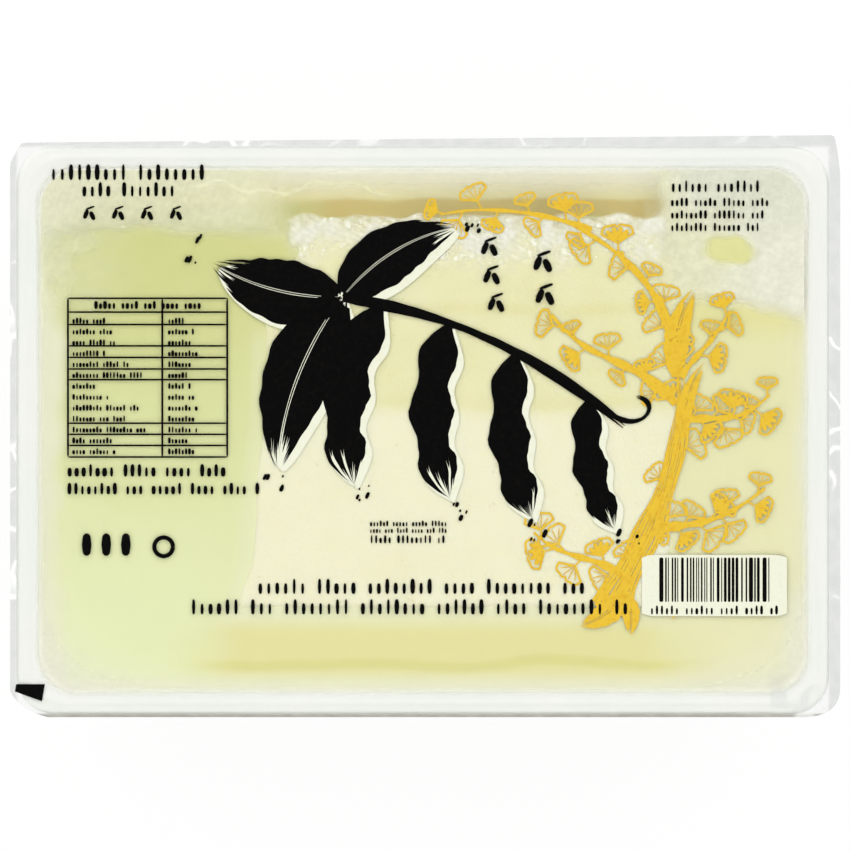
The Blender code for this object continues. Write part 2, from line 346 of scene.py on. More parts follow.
@dataclass(frozen=True)
class FilmPlastic:
    """Clear glossy lidding film with a faint grey veil, painted glints on its overhang and a painted shadow along its
    front edge.
    """

    tint: Colour = (0.985, 0.985, 0.98)
    veil: Colour = (0.42, 0.44, 0.43)
    # painted shadow: a dark brown-grey veil along the front edge, where the flange's lip is shaded
    painted_lip_shadow: Colour = (0.25, 0.24, 0.18)
    roughness: float = 0.10
    # painted highlight: the colour of the white glints on the creased overhang
    painted_glint_colour: Colour = (0.96, 0.97, 0.96)
    share: float = 0.030
    creased_share: float = 0.22
    # share of the painted shadow along the front edge
    lip_shadow_share: float = 0.30
    rim_half_length: float = 0.0912
    rim_half_width: float = 0.0637

    def build(self) -> bpy.types.Material:
        """Make the material."""
        graph = Graph("clear_film")
        along, across, _ = graph.axes()
        ripple = graph.noise(0.004, 1.0)
        # painted shadow along the front lip of the overhang
        front = 1.0 - across.between(-self.rim_half_width - 0.0002, -self.rim_half_width + 0.0004)
        past_end = along.maths("ABSOLUTE") - self.rim_half_length
        past_side = across.maths("ABSOLUTE") - self.rim_half_width
        outside = past_end.maths("MAXIMUM", past_side).between(-0.0004, 0.0006)
        # painted glints on the folds at the front right corner, and along the overhang
        corner = along.between(0.073, 0.080) * (1.0 - across.between(-0.058, -0.051)) * 0.6
        glint_zone = (outside * (1.0 - front)).maths("MAXIMUM", corner)
        # painted highlights: white streaks along the overhang's creases, which also raise the veil's share
        contour = (graph.noise(0.0100, 1.2) - 0.5).maths("ABSOLUTE")
        patches = graph.noise(0.022, 1.0).between(0.46, 0.62)
        painted_glint_streaks = (1.0 - contour.between(0.002, 0.050)) * glint_zone * patches
        sheen = graph.principled(
            Base_Color=graph.blend(
                graph.blend(self.veil, self.painted_lip_shadow, front), self.painted_glint_colour, painted_glint_streaks
            ),
            Roughness=ripple * 0.08 + self.roughness,
            IOR=1.5,
        )
        creases = outside * (ripple * 0.6 + 0.7) * (front * self.lip_shadow_share + self.creased_share)
        share = graph.glancing() * 0.85 + creases + painted_glint_streaks * 0.25 + self.share
        return graph.done(graph.see_through(self.tint, sheen, share))


def past_curd_side(x: Signal, y: Signal) -> Signal:
    """How far a place lies past the block's left edge, which leans out to the front.

    Args:
        x: Places along X.
        y: Places along Y.

    Returns:
        The distance, in metres, above nought over the block.
    """
    leaning = (1.0 - y.between(-0.030, 0.010)) * 0.0030
    lobe = (1.0 - y.between(-0.042, -0.028)) * 0.0035
    return x + 0.0370 + leaning + lobe


@dataclass(frozen=True)
class WheyFinish:
    """Cloudy pale liquid that takes blue from the light that crosses it.

    Its cloud carries painted light and shade: darker at the back, lighter to the front,
    greener at the left and warmer at the right. It is pale along the walls, partly where it
    lies shallow and partly as painted light over their shade. It has painted shade on the
    block's front face seen through it, a painted shadow at the block's foot, a painted pale
    band along the back wall, and painted brown shade in the narrow gap behind the block.
    """

    # painted light and shade: darker at the back and lighter at the front, greener at the left and warmer at the
    # right
    back_left: Colour = (0.67, 0.69, 0.27)
    front_left: Colour = (0.84, 0.89, 0.53)
    back_right: Colour = (0.83, 0.79, 0.35)
    front_right: Colour = (0.86, 0.84, 0.48)
    # partly painted light: pale near the walls, where the liquid lies shallow and where their shade is lightened
    shallow_and_lit: Colour = (0.85, 0.85, 0.62)
    # painted shade: the block's front face, turned from the light, seen through the whey
    painted_curd_front_shade: Colour = (0.83, 0.79, 0.37)
    beside_curd: Colour = (0.86, 0.86, 0.60)
    # painted shadow: the dark line at the block's foot
    foot: Colour = (0.76, 0.73, 0.29)
    # painted light: a pale band along the back wall, over the shade in the air pocket
    painted_light_by_back: Colour = (0.97, 0.90, 0.50)
    # painted shade: the brown of the deep narrow gap behind the block
    gap: Colour = (0.76, 0.60, 0.20)
    cloudiness: float = 0.84
    absorbed: Colour = (0.86, 0.90, 0.10)
    density: float = 6.0
    half_length: float = 0.0858
    half_width: float = 0.0584

    def cloud(self, graph: Graph) -> bpy.types.NodeSocket:
        """The cloud's colour over the tray.

        Args:
            graph: The material's nodes.

        Returns:
            The colour socket.
        """
        x, y, _ = graph.axes()
        drift = (graph.noise(0.030, 2.0) - 0.5) * 0.03
        x = x + drift
        # painted light and shade: the cloud grows lighter to the front
        painted_light_to_front = 1.0 - (y + drift).between(-0.055, 0.050)
        rightward = x.between(-0.060, 0.060)
        left = graph.blend(self.back_left, self.front_left, painted_light_to_front)
        right = graph.blend(self.back_right, self.front_right, painted_light_to_front)
        body = graph.blend(left, right, rightward)
        beside = past_curd_side(x - drift, y).between(-0.0030, -0.0002)
        body = graph.blend(body, self.beside_curd, beside * (1.0 - y.between(0.018, 0.026)) * 0.40)
        along_curd = x.between(-0.052, -0.036) * (1.0 - x.between(0.052, 0.068))
        before = y.between(-0.0465, -0.0440) * (1.0 - y.between(-0.0400, -0.0380))
        body = graph.blend(body, self.beside_curd, before * along_curd * 0.50)
        # painted shade: a darker, warmer band over the block's front face
        band = (1.0 - y.between(-0.0462, -0.0408)) * y.between(-0.0586, -0.0530)
        body = graph.blend(body, self.painted_curd_front_shade, band * along_curd)
        # painted shadow: a dark line along the block's foot
        foot = (y + drift * 0.15 + 0.0524).maths("ABSOLUTE")
        body = graph.blend(body, self.foot, (1.0 - foot.between(0.0002, 0.0020)) * along_curd)
        from_end = (self.half_length - x.maths("ABSOLUTE")) * (1.0 / 0.0050)
        from_front = (y + self.half_width) * (1.0 / 0.0040)
        # painted light: a pale band along the back wall
        body = graph.blend(body, self.painted_light_by_back, y.between(0.0500, 0.0530))
        nearest = from_end.maths("MINIMUM", from_front)
        # pale near the walls: partly shallow liquid, partly painted light over the walls' shade
        body = graph.blend(self.shallow_and_lit, body, nearest.between(0.0, 1.0))
        # painted shade in the narrow gap behind the block
        edge = y + (graph.noise(0.014, 2.0) - 0.5) * 0.0030
        painted_gap_shade = edge.between(0.0474, 0.0482) * (1.0 - edge.between(0.0512, 0.0526))
        painted_gap_shade = painted_gap_shade * x.between(-0.0345, -0.0190) * (1.0 - x.between(0.050, 0.058))
        return graph.blend(body, self.gap, painted_gap_shade * (graph.noise(0.004, 1.0) * 0.3 + 0.78))

    def build(self) -> bpy.types.Material:
        """Make the material."""
        graph = Graph("pale_whey")
        wet = graph.principled(Base_Color=self.cloud(graph), Roughness=0.10, IOR=1.34)
        surface = graph.see_through((1.0, 1.0, 1.0), wet, self.cloudiness)
        soak = graph.node(
            "ShaderNodeVolumeAbsorption", {}, {"Color": self.absorbed, "Density": self.density}
        )
        return graph.done(surface, soak.outputs["Volume"])


@dataclass(frozen=True)
class CurdFinish:
    """Fine wet bean curd: cream, yellower where whey lies over it, with pores and specks."""

    cream: Colour = (0.80, 0.78, 0.57)
    warm: Colour = (0.735, 0.710, 0.385)
    groove: Colour = (0.66, 0.61, 0.24)
    speck: Colour = (0.58, 0.52, 0.28)
    soaked: Colour = (0.80, 0.80, 0.42)
    step_y: float = 0.0063
    groove_y: tuple[float, float] = (0.0268, 0.0056)
    top_front: float = -0.0415

    def build(self) -> bpy.types.Material:
        """Make the material."""
        graph = Graph("tofu_curd")
        right, back, _ = graph.axes()
        cloud = graph.noise(0.012, 3.0)
        under_whey = back.between(self.step_y - 0.006, self.step_y + 0.002) * 0.7
        curd = graph.blend(self.cream, self.warm, (cloud - 0.5) * 0.7 + under_whey)
        bend = back + (graph.noise(0.035, 2.0) - 0.5) * 0.005
        for line in self.groove_y:
            beside = (bend - line).maths("ABSOLUTE").between(0.0, 0.0026)
            curd = graph.blend(curd, self.groove, (1.0 - beside) * cloud * 0.60)
        inward = past_curd_side(right, back).between(0.0000, 0.0034)
        behind_front = back.between(self.top_front, self.top_front + 0.0034)
        at_edge = 1.0 - inward.maths("MINIMUM", behind_front)
        curd = graph.blend(curd, self.soaked, at_edge * (1.0 - back.between(0.018, 0.026)) * 0.45)
        pores = 1.0 - graph.cells(0.0016).between(0.05, 0.30)
        sparse = graph.noise(0.006, 1.0).between(0.55, 0.72)
        colour = graph.blend(curd, self.speck, pores * sparse * 0.50)
        grain = graph.noise(0.0007, 4.0)
        surface = graph.principled(
            Base_Color=colour,
            Roughness=grain * 0.25 + 0.32,
            Subsurface_Weight=0.35,
            Subsurface_Radius=(1.0, 0.8, 0.5),
            Subsurface_Scale=0.003,
            IOR=1.40,
            Normal=graph.relief(grain * 0.6 + (1.0 - pores * sparse) * 0.4, 0.00018),
        )
        return graph.done(surface)


@dataclass(frozen=True)
class InkFinish:
    """A flexible film's printing ink: nearly even, with a faint mottle in colour and gloss."""

    name: str
    colour: Colour
    mottle: Colour
    roughness: float = 0.40
    shine: float = 0.12

    def build(self) -> bpy.types.Material:
        """Make the material."""
        graph = Graph(self.name)
        mottle = graph.noise(0.0009, 3.0)
        surface = graph.principled(
            Base_Color=graph.blend(self.colour, self.mottle, mottle.between(0.45, 0.75)),
            Roughness=mottle * 0.15 + self.roughness,
            Specular_IOR_Level=self.shine,
        )
        return graph.done(surface)


@dataclass(frozen=True)
class WetFinish:
    """Pale glossy beads: drops full of light, or bubbles of froth."""

    name: str
    pale: Colour
    deep: Colour
    roughness: float = 0.15

    def build(self) -> bpy.types.Material:
        """Make the material."""
        graph = Graph(self.name)
        mottle = graph.noise(0.0014, 2.0)
        surface = graph.principled(
            Base_Color=graph.blend(self.pale, self.deep, mottle.between(0.35, 0.70)),
            Roughness=mottle * 0.15 + self.roughness,
            IOR=1.34,
        )
        return graph.done(surface)


@dataclass(frozen=True)
class ClearDropFinish:
    """A drop of clear whey that hangs from the film and touches the liquid below."""

    tint: Colour = (0.96, 0.96, 0.82)
    body: Colour = (0.80, 0.79, 0.36)
    share: float = 0.75

    def build(self) -> bpy.types.Material:
        """Make the material."""
        graph = Graph("clear_drop")
        mottle = graph.noise(0.003, 1.0)
        wet = graph.principled(Base_Color=self.body, Roughness=mottle * 0.1 + 0.05, IOR=1.34)
        return graph.done(graph.see_through(self.tint, wet, mottle * 0.1 + self.share))


@dataclass(frozen=True)
class MistFinish:
    """Fine condensation whose cover and whiteness are kept on the sheet's points."""

    pale: Colour = (0.955, 0.950, 0.72)
    by_end: Colour = (0.975, 0.975, 0.87)
    cool: Colour = (0.88, 0.90, 0.77)
    frost: Colour = (0.98, 0.98, 0.92)
    passed: Colour = (0.98, 0.98, 0.93)
    passing: float = 0.35
    cover: float = 0.92

    def build(self) -> bpy.types.Material:
        """Make the material."""
        graph = Graph("mist")
        speckle = graph.noise(0.0008, 2.0)
        right, back, _ = graph.axes()
        cooled = back.between(0.041, 0.054) * right.between(0.050, 0.062)
        plain = graph.blend(self.pale, self.by_end, right.between(0.060, 0.078))
        plain = graph.blend(plain, self.cool, cooled)
        colour = graph.blend(plain, self.frost, graph.attribute("white"))
        haze = graph.principled(Base_Color=colour, Roughness=speckle * 0.2 + 0.4, IOR=1.33)
        glow = graph.node("ShaderNodeBsdfTranslucent", {}, {"Color": self.passed}).outputs["BSDF"]
        haze = graph.mixed(haze, glow, self.passing)
        share = graph.attribute("mist") * (speckle * 0.36 + 0.82) * self.cover
        return graph.done(graph.see_through((1.0, 1.0, 1.0), haze, share.maths("MINIMUM", 1.0)))


@dataclass(frozen=True)
class PaperSweep:
    """The plain pale floor, which glows a little as a lit table does."""

    colour: Colour = (0.09, 0.09, 0.09)
    grain: Colour = (0.08, 0.08, 0.08)
    glow: float = 0.90

    def build(self) -> bpy.types.Material:
        """Make the material."""
        graph = Graph("pale_floor")
        tone = graph.noise(0.25, 2.0)
        surface = graph.principled(
            Base_Color=graph.blend(self.colour, self.grain, tone),
            Roughness=1.0,
            Specular_IOR_Level=0.0,
            Emission_Color=(1.0, 1.0, 1.0),
            Emission_Strength=self.glow,
        )
        return graph.done(surface)


# --------------------------------------------------------------- numpy mesh making


def smooth_step(low: Link, high: Link, value: Array) -> Array:
    """Rise smoothly from 0 at low to 1 at high: 3 s squared less 2 s cubed.

    Args:
        low: The value that gives 0.
        high: The value that gives 1. It may be the smaller of the two.
        value: The values.

    Returns:
        The shares.
    """
    share = np.clip((value - low) / (high - low), 0.0, 1.0)
    return share * share * (3.0 - 2.0 * share)


def waves(x: Array, y: Array, length: float, seed: int, count: int = 7) -> Array:
    """Soft unevenness: a sum of sines in scattered directions, from about -1 to 1.

    Args:
        x: Places along X.
        y: Places along Y.
        length: The middle wavelength.
        seed: The seed of the directions and phases.
        count: The number of sines.

    Returns:
        The heights.
    """
    rng = np.random.default_rng(seed)
    heading = rng.uniform(0.0, 2.0 * np.pi, count)
    pitch = 2.0 * np.pi / (length * rng.uniform(0.6, 1.6, count))
    phase = rng.uniform(0.0, 2.0 * np.pi, count)
    along = x[..., None] * np.cos(heading) + y[..., None] * np.sin(heading)
    return np.sin(along * pitch + phase).sum(axis=-1) / math.sqrt(count)


def grid_faces(rows: int, columns: int, closed: bool = False) -> Array:
    """Quads between neighbouring rows of a grid of points.

    Args:
        rows: The number of rows.
        columns: The points in a row.
        closed: Whether each row joins end to end.

    Returns:
        Four point numbers for each face.
    """
    start = np.arange(rows - 1)[:, None] * columns
    column = np.arange(columns if closed else columns - 1)
    after = (column + 1) % columns
    corners = (start + column, start + after, start + columns + after, start + columns + column)
    return np.stack(corners, axis=-1).reshape(-1, 4)


def ringed_skins(rings: Array, first_poles: Array, last_poles: Array) -> Skin:
    """Closed skins over rings of points, each shut by a fan at either end.

    Args:
        rings: Points, by skin, by ring, by place in the ring, by axis.
        first_poles: The point that shuts each skin's first ring.
        last_poles: The point that shuts each skin's last ring.

    Returns:
        The points, and arrays of quads and triangles.
    """
    skins, count, around = rings.shape[:3]
    body = rings.reshape(skins, count * around, 3)
    points = np.concatenate([body, first_poles[:, None], last_poles[:, None]], axis=1)
    here = np.arange(around)
    after = (here + 1) % around
    pole = np.full(around, count * around)
    last = (count - 1) * around
    first_fan = np.stack([pole, after, here], axis=-1)
    last_fan = np.stack([pole + 1, here + last, after + last], axis=-1)
    start = np.arange(skins)[:, None, None] * points.shape[1]
    blocks = (grid_faces(count, around, closed=True), first_fan, last_fan)
    return points.reshape(-1, 3), [(block + start).reshape(-1, block.shape[1]) for block in blocks]


def ringed_skin(rings: Array, first_pole: Array, last_pole: Array) -> Skin:
    """One closed skin over rings of points, by ring, by place in the ring, by axis."""
    return ringed_skins(rings[None], first_pole[None], last_pole[None])


def signed_volume(points: Array, faces: Sequence[Array]) -> float:
    """Volume inside a closed skin, negative if its faces point inwards.

    Args:
        points: The points.
        faces: Arrays of quads and triangles.

    Returns:
        The sum of the signed tetrahedra between each triangle and the origin.
    """
    total = 0.0
    for block in faces:
        for second in range(1, block.shape[1] - 1):
            a, b, c = (points[block[:, corner]] for corner in (0, second, second + 1))
            total += float(np.einsum("ij,ij->", a, np.cross(b, c))) / 6.0
    return total


def add_piece(
    name: str,
    skin: Skin,
    material: bpy.types.Material,
    closed: bool = True,
    sharp: float = 40.0,
) -> bpy.types.Object:
    """Make an object that rides on the pack.

    Args:
        name: The piece's name.
        skin: Its points and faces.
        material: Its finish.
        closed: Whether the skin is closed, so that its faces are turned outwards.
        sharp: The angle in degrees past which an edge stays sharp.

    Returns:
        The object.
    """
    points, faces = skin
    if closed and signed_volume(points, faces) < 0.0:
        faces = [block[:, ::-1] for block in faces]
    mesh = bpy.data.meshes.new(name)
    mesh.from_pydata(points.tolist(), [], [face for block in faces for face in block.tolist()])
    mesh.shade_smooth()
    mesh.set_sharp_from_angle(angle=math.radians(sharp))
    mesh.materials.append(material)
    piece = bpy.data.objects.new(name, mesh)
    bpy.context.scene.collection.objects.link(piece)
    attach(piece, BODY)
    LOG.info("%s: %d faces", name, sum(len(block) for block in faces))
    return piece


def join_skins(skins: Sequence[Skin]) -> Skin:
    """Put several skins into one.

    Args:
        skins: Points and faces of each.

    Returns:
        Their points and faces together.
    """
    points = []
    faces = []
    start = 0
    for part, blocks in skins:
        points.append(part)
        faces += [block + start for block in blocks]
        start += len(part)
    return np.concatenate(points), faces


def rounded_plan(half_x: Array, half_y: Array, radius: float, around: int) -> Array:
    """Rounded rectangles in plan, evenly divided, anticlockwise from +X.

    Args:
        half_x: Half lengths, one for each ring.
        half_y: Half widths, one for each ring.
        radius: The corner radius.
        around: The points in each ring.

    Returns:
        Points, by ring, by place in the ring, by axis.
    """
    turn = np.linspace(0.0, 0.5 * np.pi, 25)
    angle = (np.arange(4)[:, None] * 0.5 * np.pi + turn).ravel()
    side_x = np.repeat([1.0, -1.0, -1.0, 1.0], len(turn))
    side_y = np.repeat([1.0, 1.0, -1.0, -1.0], len(turn))
    x = side_x * (half_x[:, None] - radius) + radius * np.cos(angle)
    y = side_y * (half_y[:, None] - radius) + radius * np.sin(angle)
    outline = np.stack([x, y], axis=-1)
    middle = evenly_spaced(outline[len(outline) // 2], around)
    return np.stack([along_loop(ring, middle) for ring in outline])


def loop_lengths(loop: Array) -> Array:
    """Distance along a closed loop at each point and back at the first, as shares of its length."""
    steps = np.linalg.norm(np.roll(loop, -1, axis=0) - loop, axis=1)
    return np.concatenate([[0.0], np.cumsum(steps)]) / steps.sum()


def evenly_spaced(loop: Array, count: int) -> Array:
    """Places on a closed loop at even distances, given in steps from point to point.

    Args:
        loop: The loop's points.
        count: The number of places.

    Returns:
        For each place, the number of the point before it and the share of the way on.
    """
    shares = loop_lengths(loop)
    return np.interp(np.arange(count) / count, shares, np.arange(len(shares)))


def along_loop(loop: Array, places: Array) -> Array:
    """Points of a closed loop.

    Args:
        loop: The loop's points.
        places: Point numbers with shares of the way to the next.

    Returns:
        The points.
    """
    shut = np.concatenate([loop, loop[:1]])
    numbers = np.arange(len(shut))
    return np.stack([np.interp(places, numbers, shut[:, axis]) for axis in range(shut.shape[1])], axis=-1)


def bezier(points: Sequence[Sequence[float]], share: Array) -> tuple[Array, Array]:
    """A cubic curve through two ends by way of two handles.

    Args:
        points: The start, two handles and the end.
        share: Places from 0 to 1.

    Returns:
        The points there, and the unit vectors along the curve.
    """
    start, first, second, end = (np.asarray(point, dtype=float) for point in points)
    s = share[..., None]
    spot = start * (1 - s) ** 3 + 3 * first * s * (1 - s) ** 2 + 3 * second * s * s * (1 - s) + end * s**3
    pull = (first - start) * (1 - s) ** 2 + 2 * (second - first) * s * (1 - s) + (end - second) * s * s
    return spot, pull / np.linalg.norm(pull, axis=-1, keepdims=True)


def left_of(heading: Array) -> Array:
    """Unit vectors turned a quarter to the left."""
    return np.stack([-heading[..., 1], heading[..., 0]], axis=-1)


# ---------------------------------------------------------------------------- tray


@dataclass
class Tray:
    """The moulded tub. Its profile is a path of (distance in from the rim, height)."""

    length: float = 0.183
    width: float = 0.128
    height: float = 0.0485
    band: float = 0.0053
    corner: float = 0.0086
    wall: float = 0.0008
    edge_round: float = 0.0010
    skirt: float = 0.0024
    throat: float = 0.0003
    shoulder_drop: float = 0.0050
    shoulder_step: float = 0.0005
    shoulder_round: float = 0.0004
    lean: float = 0.0050
    base_round: float = 0.0045
    bead_rise: float = 0.0003
    bead_spread: float = 0.0006
    line_inset: float = 0.0215
    line_width: float = 0.0016
    line_depth: float = 0.00035
    around: int = 240

    def corners(self) -> list[tuple[float, float, float]]:
        """The profile's corners from the skirt's foot to the floor, each with its radius."""
        shoulder_z = self.height - self.shoulder_drop
        throat = self.band + self.throat
        floor = self.band + self.shoulder_step + self.lean
        return [
            (0.0, self.height - self.skirt, 0.0),
            (0.0, self.height, self.edge_round),
            (self.band, self.height, self.edge_round),
            (throat, shoulder_z, self.shoulder_round),
            (throat + self.shoulder_step, shoulder_z - self.shoulder_step, self.shoulder_round),
            (floor, self.wall, self.base_round),
            (self.line_inset, self.wall, 0.0),
        ]

    def profile(self, offset: float, bead: bool) -> Array:
        """The profile as a smooth path, moved sideways by an offset.

        Each corner becomes an arc that touches both of its sides. The path is divided
        finely, the seal bead is added as a low bell curve on the rim, and each point is
        moved along the path's normal.

        Args:
            offset: How far the path moves towards the food side.
            bead: Whether the seal bead is on it.

        Returns:
            Points (inset, z) from the skirt's foot to the floor.
        """
        corners = np.array(self.corners())
        path = [corners[0, :2]]
        for before, corner, after in zip(corners, corners[1:], corners[2:]):
            to_before = before[:2] - corner[:2]
            to_after = after[:2] - corner[:2]
            to_before /= np.linalg.norm(to_before)
            to_after /= np.linalg.norm(to_after)
            half = math.acos(float(np.clip(to_before @ to_after, -1.0, 1.0))) / 2.0
            bisector = (to_before + to_after) / np.linalg.norm(to_before + to_after)
            centre = corner[:2] + bisector * corner[2] / math.sin(half)
            start = -bisector
            sweep = (np.pi / 2.0 - half) * np.linspace(-1.0, 1.0, 9)
            side = np.array([-start[1], start[0]])
            side *= np.sign(side @ to_after)
            path += list(centre + corner[2] * (np.outer(np.cos(sweep), start) + np.outer(np.sin(sweep), side)))
        path.append(corners[-1, :2])
        route = np.array(path)
        steps = np.linalg.norm(np.diff(route, axis=0), axis=1)
        length = np.concatenate([[0.0], np.cumsum(steps)])
        fine = np.unique(np.concatenate([length, np.linspace(0.0, length[-1], 150)]).round(7))
        fine = fine[np.concatenate([[True], np.diff(fine) > 2e-5])]
        line = np.stack([np.interp(fine, length, route[:, axis]) for axis in (0, 1)], axis=-1)
        if bead:
            on_rim = np.exp(-(((line[:, 0] - self.band / 2) / self.bead_spread) ** 2))
            line[:, 1] += self.bead_rise * on_rim * (line[:, 1] > self.height - self.wall / 4)
        heading = np.gradient(line, axis=0)
        heading /= np.linalg.norm(heading, axis=1, keepdims=True)
        return line + left_of(heading) * offset

    def rings(self, line: Array) -> Array:
        """Carry a profile round the tray.

        Args:
            line: Points (inset, z).

        Returns:
            Points, by ring, by place in the ring, by axis.
        """
        plan = rounded_plan(
            self.length / 2 - line[:, 0], self.width / 2 - line[:, 0], self.corner, self.around
        )
        height = np.broadcast_to(line[:, 1][:, None, None], (*plan.shape[:2], 1))
        return np.concatenate([plan, height], axis=-1)

    def base_line(self) -> Array:
        """The fine groove pressed into the base: a raised cosine across its width."""
        share = np.linspace(-0.5, 0.5, 13)
        height = self.line_depth * (0.5 + 0.5 * np.cos(2.0 * np.pi * share))
        return np.stack([self.line_inset + self.line_width * share, height], axis=-1)

    def build(self, finish: TrayPlastic) -> bpy.types.Object:
        """Make the tray and put it in the plain solid's place.

        Args:
            finish: The plastic.

        Returns:
            The piece.
        """
        upper = self.profile(0.0, bead=True)
        under = self.profile(-self.wall, bead=False)
        under = under[under[:, 0] < self.line_inset - self.line_width / 2]
        rings = self.rings(np.concatenate([upper[::-1], under, self.base_line()]))
        poles = np.array([[0.0, 0.0, self.wall], [0.0, 0.0, 0.0]])
        piece = add_piece("tray_shell", ringed_skin(rings, *poles), finish.build())
        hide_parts("tray")
        return piece

    def outside(self, x: Array, y: Array) -> Array:
        """Distance outside the rim's edge in plan, negative inside it.

        Args:
            x: Places along X.
            y: Places along Y.

        Returns:
            The distances: those to a rectangle smaller by the corner radius, less it.
        """
        over_x = np.abs(x) - (self.length / 2 - self.corner)
        over_y = np.abs(y) - (self.width / 2 - self.corner)
        corner = np.hypot(np.maximum(over_x, 0.0), np.maximum(over_y, 0.0))
        return corner + np.minimum(np.maximum(over_x, over_y), 0.0) - self.corner


# ------------------------------------------------------------------------ lid film


@dataclass
class LidFilm:
    """The clear sheet sealed over the tray, cut a little askew and puckered where it overhangs."""

    tray: Tray
    thickness: float = 0.00010
    lift: float = 0.00004
    sag: float = 0.0009
    over_left: float = 0.0013
    over_right: float = 0.0024
    over_front: float = 0.0005
    over_back_left: float = 0.0007
    over_back_right: float = 0.0024
    pucker: float = 0.00016
    around: int = 640

    def edge(self) -> Array:
        """The cut edge, evenly divided: four sides joined by clipped corners.

        A clip is a quadratic curve whose middle handle lies between the straight cut, at
        roundness 0, and the sheet's own corner, at roundness 1.

        Returns:
            Points (x, y), anticlockwise.
        """
        half_x = self.tray.length / 2
        half_y = self.tray.width / 2
        left, right = -half_x - self.over_left, half_x + self.over_right
        front = -half_y - self.over_front
        back_left, back_right = half_y + self.over_back_left, half_y + self.over_back_right
        clips = (
            ((right, back_right), (0.0, -0.0090), (-0.0014, 0.0), 0.3),
            ((left, back_left), (0.0027, 0.0), (0.0, -0.0049), 0.2),
            ((left, front), (0.0, 0.0058), (0.0085, 0.0), 0.5),
            ((right, front), (-0.0085, 0.0), (0.0, 0.0065), 1.0),
        )
        share = np.linspace(0.0, 1.0, 12)[:, None]
        parts = []
        for corner, way_in, way_out, roundness in clips:
            start = np.add(corner, way_in)
            end = np.add(corner, way_out)
            handle = (start + end) / 2 * (1.0 - roundness) + np.array(corner) * roundness
            parts.append(start * (1 - share) ** 2 + 2 * handle * share * (1 - share) + end * share**2)
        loop = np.concatenate(parts)
        return along_loop(loop, evenly_spaced(loop, self.around))

    def height(self, x: Array, y: Array) -> Array:
        """Height of the film's under side.

        It lies level on the seal bead, sags over the opening by the root of the product of
        two parabolas, drapes down past the rim's edge, and carries small puckers that grow
        towards its cut edge and at the corners.

        Args:
            x: Places along X.
            y: Places along Y.

        Returns:
            The heights.
        """
        tray = self.tray
        across = np.clip(1.0 - (x / (tray.length / 2 - tray.band)) ** 2, 0.0, 1.0)
        along = np.clip(1.0 - (y / (tray.width / 2 - tray.band)) ** 2, 0.0, 1.0)
        seat = tray.height + tray.bead_rise + self.lift
        out = tray.outside(x, y)
        free = smooth_step(-0.0012, 0.0022, out)
        rim = smooth_step(-tray.band - 0.002, -tray.band + 0.001, out)
        pleats = np.sin(waves(x, y, 0.011, 5) * 2.2 + (x - y) * 900.0) * waves(x, y, 0.02, 6)
        puckers = self.pucker * free * (waves(x, y, 0.0032, 3) + 1.2 * pleats)
        corner = smooth_step(0.062, 0.082, x) * smooth_step(-0.042, -0.058, y)
        folds = 0.00009 * corner * rim * np.sin((x - 1.4 * y) * 1900.0 + 2.0 * waves(x, y, 0.012, 8))
        drape = 0.00028 * free + 0.03 * np.clip(out, 0.0, None) * free
        soft = 0.00002 * waves(x, y, 0.022, 4)
        return seat - self.sag * np.sqrt(across * along) + puckers - drape + folds + soft

    def top(self, x: Array, y: Array) -> Array:
        """Height of the film's upper side."""
        return self.height(x, y) + self.thickness

    def skin(self) -> Skin:
        """Both sides of the sheet as rings that shrink from the cut edge to the middle."""
        shares = np.concatenate([np.linspace(1.0, 0.90, 30), np.linspace(0.89, 0.02, 44)])
        plan = self.edge()[None] * shares[:, None, None]
        under = self.height(plan[..., 0], plan[..., 1])[..., None]
        lower = np.concatenate([plan, under], axis=-1)
        upper = np.concatenate([plan, under + self.thickness], axis=-1)
        middle = np.zeros(1)
        under_z = float(self.height(middle, middle)[0])
        poles = np.array([[0.0, 0.0, under_z], [0.0, 0.0, under_z + self.thickness]])
        return ringed_skin(np.concatenate([lower[::-1], upper]), *poles)

    def build(self, finish: FilmPlastic) -> bpy.types.Object:
        """Make the film and put it in the plain solid's place."""
        piece = add_piece("film_sheet", self.skin(), finish.build(), sharp=60.0)
        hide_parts("lid_film")
        return piece


# ---------------------------------------------------------------------------- tofu


